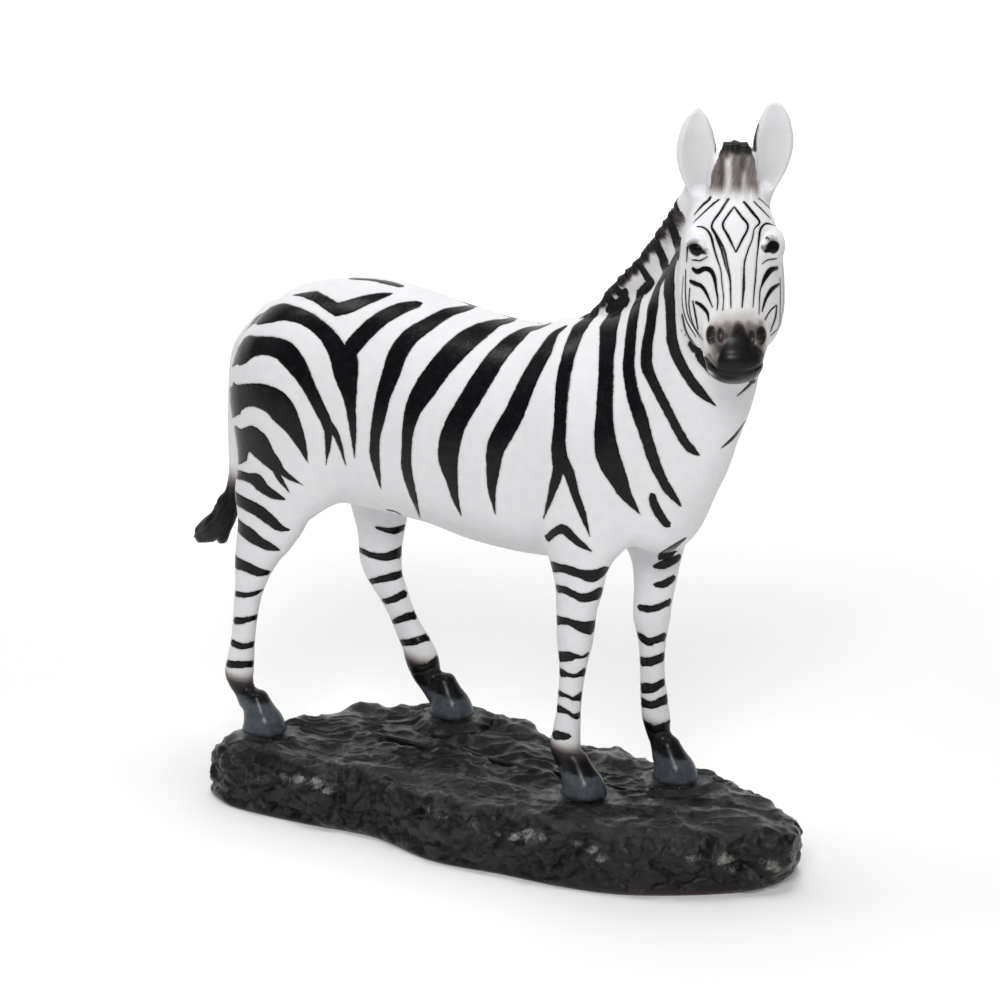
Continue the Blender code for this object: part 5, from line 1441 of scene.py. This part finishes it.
def rock_paint():
    n = Nodes("rock_paint")
    at = n.place()
    relief = n.read("relief").outputs["Fac"]
    rub, tint, side = n.parts(n.read("rub").outputs["Vector"])
    patch = n.noise(at, 120, 5, 0.62, 0.4)
    colour = n.blend(n.spread(patch, 0.38, 0.68), (0.0042, 0.0035, 0.0044), (0.0105, 0.0090, 0.0108))
    fleck = n.noise(at, 620, 4, 0.7)
    colour = n.blend(n.math("MULTIPLY", n.spread(fleck, 0.64, 0.76), 0.25), colour, (0.070, 0.066, 0.066))
    drag = n.noise(at, 380, 5, 0.72, 1.2)
    high = n.spread(n.math("ADD", relief, n.math("MULTIPLY", n.math("SUBTRACT", drag, 0.5), 4.5)), 0.0, 2.4)
    worn = n.math("MULTIPLY", n.spread(n.math("ADD", rub, n.math("MULTIPLY", n.math("SUBTRACT", drag, 0.5), 1.5)), 0.28, 0.82), n.math("ADD", n.math("MULTIPLY", high, 0.6), 0.4), clamp=True)
    chalk = n.blend(n.spread(fleck, 0.35, 0.7), (0.10, 0.10, 0.104), (0.38, 0.38, 0.39))
    stone = n.blend(n.spread(fleck, 0.35, 0.7), (0.08, 0.083, 0.073), (0.33, 0.33, 0.29))
    colour = n.blend(worn, colour, n.blend(n.spread(tint, 0.1, 0.4), chalk, stone))
    colour = n.blend(n.read("foot").outputs["Fac"], colour, (0.045, 0.022, 0.018))
    n.put(n.shader.inputs["Base Color"], colour)
    shine = n.noise(at, 210, 4, 0.65)
    n.put(n.shader.inputs["Roughness"], n.spread(shine, 0.36, 0.66, 0.09, 0.28))
    n.shader.inputs["Specular IOR Level"].default_value = 0.32
    grain = n.noise(at, 1100, 4, 0.65)
    grit = n.noise(at, 2600, 2, 0.5)
    height = n.math("ADD", n.math("MULTIPLY", grain, 0.42), n.math("ADD", n.math("MULTIPLY", drag, 0.7), n.math("MULTIPLY", grit, 0.12)))
    n.put(n.shader.inputs["Normal"], n.bump(height, 0.00045))
    return n.mat


def rock_piece():
    P, faces, relief, rub, edge = rock_skin()
    P[:, 0] = np.clip(P[:, 0], -108.2, 111.1)
    P[:, 1] = np.clip(P[:, 1], -48.3, 41.3)
    obj = mesh_from("rock_skin", P, faces)
    give(obj.data, "relief", relief, "FLOAT")
    give(obj.data, "rub", rub)
    give(obj.data, "foot", np.where(edge, 0.5, 0.0) * (rub[:, 2] > 0.5) * ramp(P[:, 0], 40, 75), "FLOAT")
    obj.data.materials.append(rock_paint())
    return obj


def stage():
    """A pale floor that rises behind, soft light, and the camera of the photograph."""
    scene = bpy.context.scene
    bm = bmesh.new()
    reach, rise = 6.0, 24
    flat = unit(BACK * (1, 1, 0))
    side = np.array((-flat[1], flat[0], 0))
    section = [(2.5, 0.0), (-2.6, 0.0)] + [(-2.6 - 1.2 * math.sin(k / rise * math.pi / 2), 1.2 - 1.2 * math.cos(k / rise * math.pi / 2)) for k in range(1, rise + 1)] + [(-3.8, 4.5)]
    rows = [[bm.verts.new(flat * d + side * w + (0, 0, z)) for w in (-reach, reach)] for d, z in section]
    for a, b in zip(rows, rows[1:]):
        bm.faces.new((a[0], a[1], b[1], b[0]))
    bmesh.ops.recalc_face_normals(bm, faces=bm.faces)
    mesh = bpy.data.meshes.new("floor")
    bm.to_mesh(mesh)
    bm.free()
    for p in mesh.polygons:
        p.use_smooth = True
    floor = bpy.data.objects.new("floor", mesh)
    scene.collection.objects.link(floor)
    n = Nodes("pale_floor")
    grain = n.noise(n.place(), 40, 3)
    n.put(n.shader.inputs["Base Color"], n.blend(grain, (0.80, 0.80, 0.80), (0.82, 0.82, 0.82)))
    n.shader.inputs["Roughness"].default_value = 0.9
    n.shader.inputs["Specular IOR Level"].default_value = 0.1
    n.shader.inputs["Emission Color"].default_value = (1, 1, 1, 1)
    x, y, _ = n.parts(n.place())
    behind = n.math("ADD", n.math("MULTIPLY", x, float(-flat[0])), n.math("MULTIPLY", y, float(-flat[1])))
    glow = n.spread(behind, 0.1, 1.0, FLOOR_GLOW, FAR_GLOW)
    n.put(n.shader.inputs["Emission Strength"], n.math("MULTIPLY", glow, n.spread(behind, 2.2, 2.5, 1.0, 0.8)))
    mesh.materials.append(n.mat)
    world = bpy.data.worlds.new("studio")
    world.use_nodes = True
    sky = world.node_tree.nodes["Background"]
    sky.inputs["Color"].default_value = (1, 1, 1, 1)
    sky.inputs["Strength"].default_value = WORLD
    scene.world = world
    for name, place_, size, power in LAMPS:
        light = bpy.data.lights.new(name, "AREA")
        light.shape = "DISK"
        light.size = size
        light.energy = power
        lamp = bpy.data.objects.new(name, light)
        lamp.location = place_
        aim = Vector((0, 0, 0.12)) - Vector(place_)
        lamp.rotation_euler = aim.to_track_quat("-Z", "Y").to_euler()
        scene.collection.objects.link(lamp)
    data = bpy.data.cameras.new("camera")
    data.sensor_width = 36
    data.lens = 36 * FOCAL / 1000
    data.clip_start, data.clip_end = 0.05, 30
    camera = bpy.data.objects.new("camera", data)
    camera.location = EYE * MM
    camera.rotation_euler = Vector(BACK).to_track_quat("Z", "Y").to_euler()
    scene.collection.objects.link(camera)
    scene.camera = camera
    scene.view_settings.view_transform = "Standard"
    return floor


WORLD, FLOOR_GLOW, FAR_GLOW = 0.10, 0.16, 0.90
# Name, place in metres, width in metres, watts
LAMPS = [("key", (0.62, -1.28, 1.08), 0.55, 13.6), ("top", (0.05, 0.05, 1.6), 0.8, 12.8), ("glint", (-0.75, -0.15, 1.3), 0.35, 2.0), ("side", (-1.2, -0.6, 0.8), 0.8, 0.5)]


def main():
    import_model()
    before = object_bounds()
    P, E, faces = zebra_skin()
    N = normals_of(P, faces)
    made, airbrush_and_painted_light, tone, hair, fine = painted(P, E, faces, N)
    P = crest_clumps(P.copy(), N)
    low, high = (np.array(corner, float) / MM for corner in before)
    P = np.clip(P, low + 0.05, high - 0.05)
    zebra = mesh_from("zebra_skin", P, faces)
    for c, (s, half) in enumerate(made):
        give(zebra.data, f"band{c}", np.stack([s, half, 0 * s], 1))
    give(zebra.data, "airbrush_and_painted_light", airbrush_and_painted_light, "FLOAT")
    give(zebra.data, "tone", tone)
    give(zebra.data, "hair", hair)
    give(zebra.data, "fine", fine, "FLOAT")
    zebra.data.materials.append(zebra_paint(len(made)))
    rock = rock_piece()
    for piece, node, paint in ((zebra, "zebra", "painted_white"), (rock, "rock_base", "painted_black")):
        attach(piece, "root")
        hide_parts(node)
    stage()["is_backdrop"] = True
    return before


before = main()
